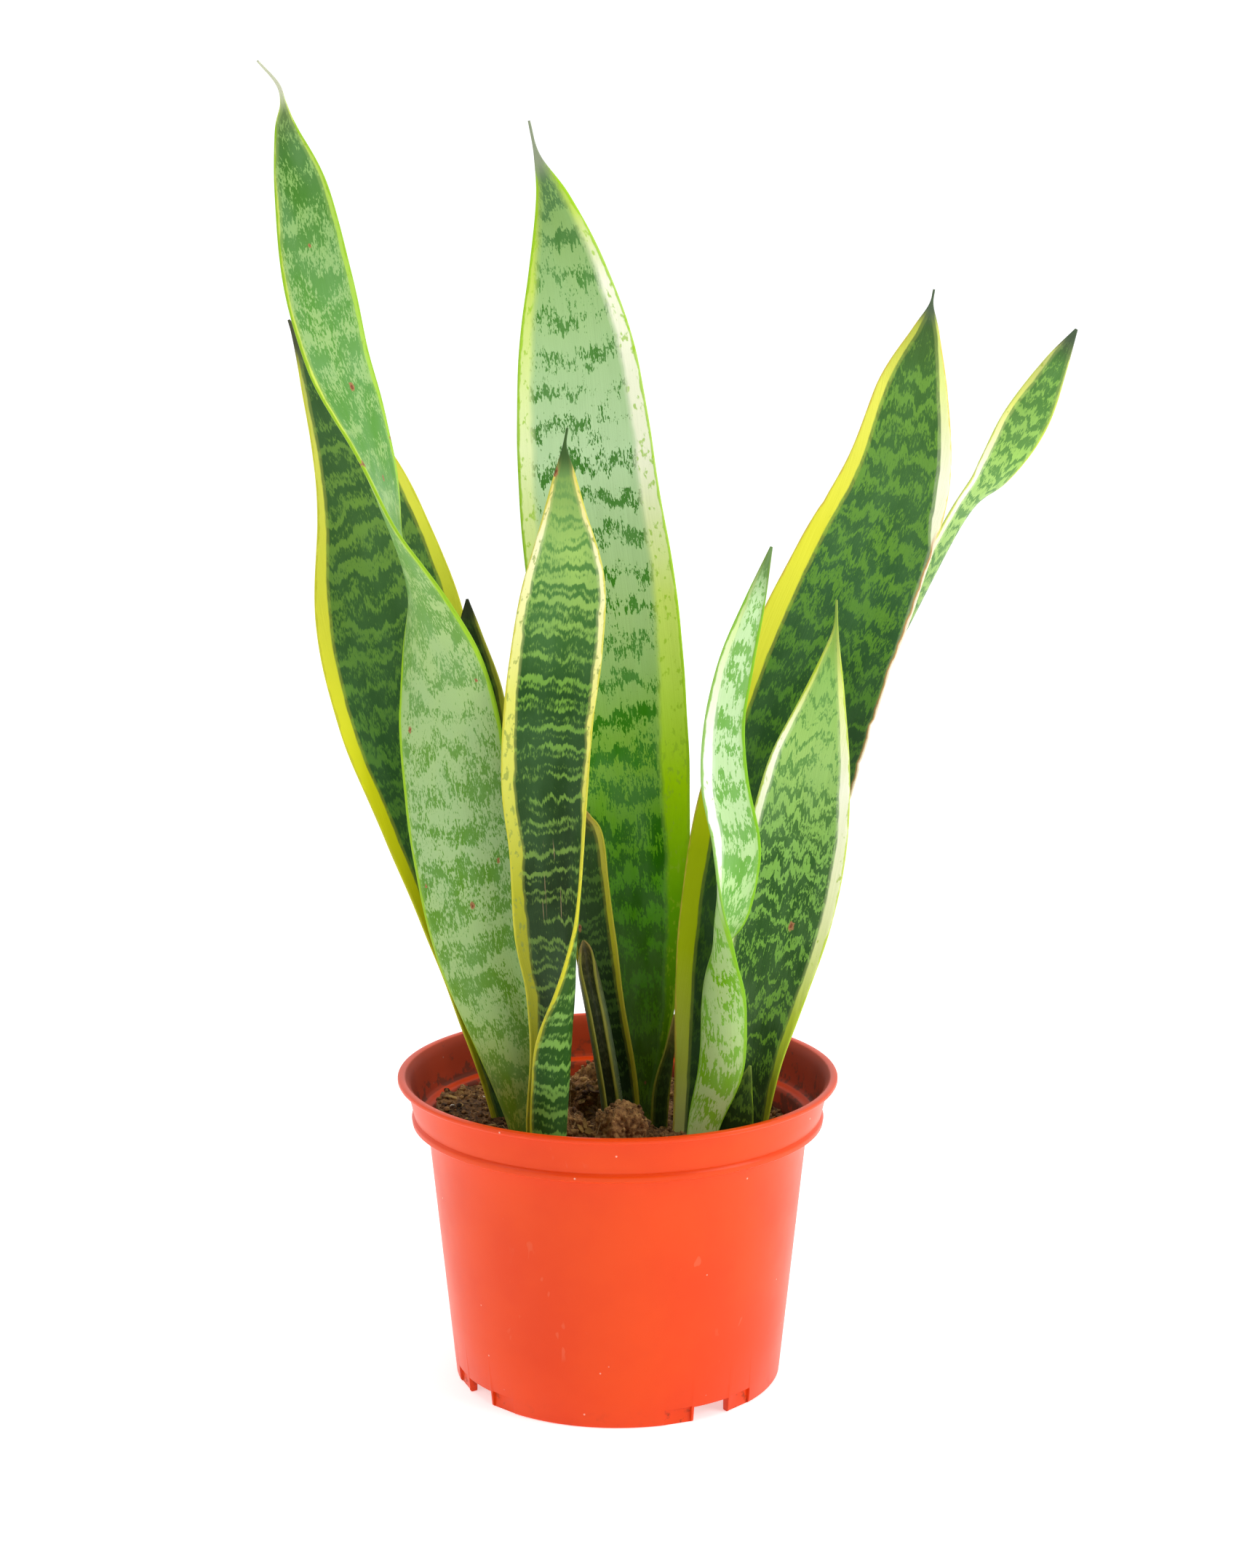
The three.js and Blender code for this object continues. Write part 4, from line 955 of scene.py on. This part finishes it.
def lumpClod(center, half, lumps, seed):
    bm = bmesh.new()
    tone = bm.verts.layers.float.new("tone")
    bmesh.ops.create_icosphere(bm, subdivisions=6, radius=1)
    for vert in bm.verts:
        n = vert.co.normalized()
        lump = (0.1 * math.sin(4 * n.x + 2 * lumps) + 0.08 * math.sin(5 * n.y - lumps)
                + 0.08 * math.cos(5 * n.z + 3 * lumps))
        point = Vector((center[i] + n[i] * half[i] * (0.84 + lump) for i in range(3)))
        crumbs = (1.6 * crumbly(point, 3.8) + 1.1 * crumbly(point, 1.8)
                  + 0.5 * noise.fractal(point / 1.3, 1.0, 2.0, 2) + 3.0 * noise.fractal(point / 6, 1.0, 2.0, 3) - 1.0)
        point += n * crumbs
        reach = math.hypot(point.x, point.y)
        if reach > soilSize["clodReach"]:  # pressed flat where it meets the wall
            point.x, point.y = (v * soilSize["clodReach"] / reach for v in (point.x, point.y))
        vert.co = point
        vert[tone] = 0.45 + 0.3 * crumbly(point, 4.5) + 0.15 * noise.noise(point / 3 + Vector((seed, 0, 0)))
    return bm


def setInPot(bm):
    bmesh.ops.scale(bm, vec=(mm, mm, mm), verts=bm.verts)
    bmesh.ops.translate(bm, vec=(potX, potY, 0), verts=bm.verts)
    return bm


earthSoil, earthClod = earth("soil_earth", 0.02), earth("clod_earth", 0.08)
ground = fillSoil(soilSize)
clodMeshes = [lumpClod(center, half, lumps, i) for i, (_, center, half, lumps) in enumerate(clodSizes)]
surfaces = [BVHTree.FromBMesh(part) for part in [ground] + clodMeshes]


def landOn(x, y):
    # highest soil or clod under a point, with its slope
    best = None
    for tree in surfaces:
        hit, normal, _, _ = tree.ray_cast(Vector((x, y, 140)), Vector((0, 0, -1)))
        if hit and (best is None or hit.z > best[0].z):
            best = (hit, normal)
    return best


finishPiece("potting_soil_fill", setInPot(ground), earthSoil, ["potting_soil"])
for i, (node, _, _, _) in enumerate(clodSizes):
    finishPiece(f"crumbled_clod_{i + 1}", setInPot(clodMeshes[i]), earthClod, [node])
print("soil filled, clods:", len(clodSizes))

looseBits = dict(crumbs=3000, crumbSize=(0.35, 1.5), bark=110, barkSize=(2.0, 6.5), grit=60,
                 gritSize=(0.4, 1.2), roots=240, rootLength=(5, 18), rootRadius=(0.08, 0.2), reach=70)


def spot(dice, reach):
    angle, r = dice.uniform(0, 2 * math.pi), reach * math.sqrt(dice.random())
    return r * math.cos(angle), r * math.sin(angle)


def startBit():
    bm = bmesh.new()
    return bm, bm.verts.layers.float.new("tone")


def addBit(heap, bit, carrier):
    # each bit is shaped on its own, then joined to the heap
    bit.to_mesh(carrier)
    heap.from_mesh(carrier)
    bit.free()


def scatterLumps(dice, count, size, squash, seed, detail=1):
    heap, _ = startBit()
    carrier = bpy.data.meshes.new("carrier")
    for _ in range(count):
        hit, normal = landOn(*spot(dice, looseBits["reach"]))
        radius = size[0] + (size[1] - size[0]) * dice.random() ** 3
        value, shift = dice.uniform(0.1, 1.0), Vector((dice.uniform(0, 90), 0, seed))
        bit, tone = startBit()
        bmesh.ops.create_icosphere(bit, subdivisions=detail, radius=1)
        for vert in bit.verts:
            vert.co *= 1 + 0.45 * noise.noise(vert.co * 1.7 + shift)
            vert[tone] = value
        sizes = [radius * dice.uniform(0.7, 1.3) for _ in range(2)] + [radius * squash]
        bmesh.ops.scale(bit, vec=sizes, verts=bit.verts)
        axis = Vector((dice.uniform(-1, 1), dice.uniform(-1, 1), 1))
        bmesh.ops.rotate(bit, matrix=Matrix.Rotation(dice.uniform(0, 6.28), 3, axis), verts=bit.verts)
        bmesh.ops.translate(bit, vec=hit + normal * radius * 0.35, verts=bit.verts)
        addBit(heap, bit, carrier)
    bpy.data.meshes.remove(carrier)
    return heap


def scatterBark(dice):
    heap, _ = startBit()
    carrier = bpy.data.meshes.new("carrier")
    for _ in range(looseBits["bark"]):
        hit, normal = landOn(*spot(dice, looseBits["reach"] - 4))
        length, value, shift = dice.uniform(*looseBits["barkSize"]), dice.random(), dice.uniform(0, 50)
        bit, tone = startBit()
        bmesh.ops.create_grid(bit, x_segments=5, y_segments=2, size=0.5)
        raised = bmesh.ops.extrude_face_region(bit, geom=list(bit.faces))["geom"]
        upper = [part for part in raised if isinstance(part, bmesh.types.BMVert)]
        bmesh.ops.translate(bit, vec=(0, 0, 0.16), verts=upper)
        for vert in bit.verts:
            vert.co.y *= 1 - 2.4 * abs(vert.co.x) ** 2 + 0.3 * noise.noise(Vector((vert.co.x * 5, shift, 0)))
            vert.co.z += 0.12 * math.sin(vert.co.x * 4 + shift) + 0.06 * noise.noise(vert.co * 4)
            vert[tone] = value
        bmesh.ops.recalc_face_normals(bit, faces=bit.faces)
        bmesh.ops.scale(bit, vec=(length, length * dice.uniform(0.35, 0.7), length * 0.6), verts=bit.verts)
        bmesh.ops.rotate(bit, matrix=Matrix.Rotation(dice.uniform(0, 6.28), 3, "Z"), verts=bit.verts)
        lean = Vector((0, 0, 1)).rotation_difference(normal.lerp(Vector((0, 0, 1)), 0.4).normalized())
        bmesh.ops.rotate(bit, matrix=lean.to_matrix(), verts=bit.verts)
        bmesh.ops.translate(bit, vec=hit + normal * 0.4, verts=bit.verts)
        addBit(heap, bit, carrier)
    bpy.data.meshes.remove(carrier)
    return heap


def scatterRoots(dice):
    heap, _ = startBit()
    carrier = bpy.data.meshes.new("carrier")
    for _ in range(looseBits["roots"]):
        x, y = spot(dice, looseBits["reach"] - 3)
        heading, length = dice.uniform(0, 6.28), dice.uniform(*looseBits["rootLength"])
        radius, value, shift = dice.uniform(*looseBits["rootRadius"]), dice.uniform(0.2, 1), dice.uniform(0, 99)
        path = []
        for i in range(9):
            if math.hypot(x, y) > looseBits["reach"]:
                break
            path.append(landOn(x, y)[0] + Vector((0, 0, 0.25 + 0.9 * noise.noise(Vector((i * 0.5, shift, 0))))))
            heading += 0.9 * noise.noise(Vector((shift, i * 0.6, 3)))
            x += math.cos(heading) * length / 8
            y += math.sin(heading) * length / 8
        last = len(path) - 1
        if last < 3:
            continue
        bit, tone = startBit()
        bmesh.ops.create_grid(bit, x_segments=5, y_segments=last, size=1)
        for vert in bit.verts:
            i = round((vert.co.y + 1) / 2 * last)
            ahead = (path[min(i + 1, last)] - path[max(i - 1, 0)]).normalized()
            aside = ahead.cross(Vector((0, 0, 1))).normalized()
            angle = (vert.co.x + 1) * math.pi
            thin = radius * (1 - 0.6 * i / last)
            vert.co = path[i] + thin * (math.cos(angle) * aside + math.sin(angle) * aside.cross(ahead))
            vert[tone] = value
        bmesh.ops.remove_doubles(bit, verts=bit.verts, dist=1e-4)
        bmesh.ops.holes_fill(bit, edges=[e for e in bit.edges if e.is_boundary], sides=0)
        bmesh.ops.recalc_face_normals(bit, faces=bit.faces)
        addBit(heap, bit, carrier)
    bpy.data.meshes.remove(carrier)
    return heap


dice = random.Random(soilSize["seed"])
finishPiece("loose_crumbs", setInPot(scatterLumps(dice, looseBits["crumbs"], looseBits["crumbSize"], 0.8, 1)),
            earth("crumb_earth", 0.06), [], sharpAngle=60)
finishPiece("bark_chips", setInPot(scatterBark(dice)), plainSpeck("bark_fines", "#b08a4a", "#4c301c", 0.85, 400.0),
            [], sharpAngle=45)
finishPiece("pale_grit", setInPot(scatterLumps(dice, looseBits["grit"], looseBits["gritSize"], 0.9, 5, 2)),
            plainSpeck("grit_white", "#e9e4d8", "#b9ad98", 0.8), [], sharpAngle=60)
finishPiece("root_threads", setInPot(scatterRoots(dice)), plainSpeck("root_tan", "#b99a6c", "#6a4a2e", 0.8),
            [])
print("loose bits scattered")


# stage: white floor and air, soft light from both sides, and the camera

studio = dict(airBack=1.05, airFront=0.18, floor="#f4f4f4", floorGlow=0.52, left=6.0, right=14.5, top=6.2)


def layFloor():
    bm = bmesh.new()
    bmesh.ops.create_grid(bm, x_segments=1, y_segments=1, size=6)
    mesh = bpy.data.meshes.new("studio_floor")
    bm.to_mesh(mesh)
    bm.free()
    floor = bpy.data.objects.new("studio_floor", mesh)
    bpy.context.scene.collection.objects.link(floor)
    material, tree, shader = newMaterial("floor_white", roughness=0.7, specular=0.1)
    place = addNode(tree, "ShaderNodeTexCoord", {}).outputs["Object"]
    plug(tree, shader.inputs["Base Color"], blend(tree, grain(tree, place, 3.0), studio["floor"], "#f7f7f6"))
    shader.inputs["Emission Color"].default_value = (1, 1, 1, 1)
    shader.inputs["Emission Strength"].default_value = studio["floorGlow"]
    mesh.materials.append(material)


def hangLight(name, location, target, size, power):
    data = bpy.data.lights.new(name, "AREA")
    data.shape, data.size, data.size_y, data.energy = "RECTANGLE", size[0], size[1], power
    light = bpy.data.objects.new(name, data)
    light.location = location
    light.rotation_euler = (Vector(target) - Vector(location)).to_track_quat("-Z", "Y").to_euler()
    bpy.context.scene.collection.objects.link(light)


layFloor()
world = bpy.data.worlds.new("studio_air")
world.use_nodes = True
air = world.node_tree
background = air.nodes["Background"]
background.inputs["Color"].default_value = (1, 1, 1, 1)
direction = addNode(air, "ShaderNodeTexCoord", {}).outputs["Generated"]
depth = addNode(air, "ShaderNodeSeparateXYZ", {0: direction}).outputs[1]
glow = fade(air, depth, -0.7, 0.7, studio["airFront"], studio["airBack"])
seen = addNode(air, "ShaderNodeLightPath", {}).outputs["Is Camera Ray"]
plug(air, background.inputs["Strength"], sums(air, "MAXIMUM", glow, sums(air, "MULTIPLY", seen, 1.2)))
bpy.context.scene.world = world
hangLight("left_softbox", (-1.3, -0.7, 0.9), (-0.02, 0, 0.2), (0.9, 1.2), studio["left"])
hangLight("right_softbox", (1.3, -0.6, 0.75), (0, 0, 0.15), (0.9, 1.2), studio["right"])
hangLight("top_softbox", (0.1, -0.3, 1.7), (0, 0, 0.1), (1.2, 1.2), studio["top"])

scene = bpy.context.scene
scene.view_settings.view_transform = "Standard"
cameraData = bpy.data.cameras.new("studio_camera")
cameraData.lens, cameraData.sensor_width = 67.81, 36
camera = bpy.data.objects.new("studio_camera", cameraData)
camera.location = (-0.0202, -1.1, 0.4522)
camera.rotation_euler = (math.radians(78.75), 0, 0)
scene.collection.objects.link(camera)
scene.camera = camera
print("stage set")
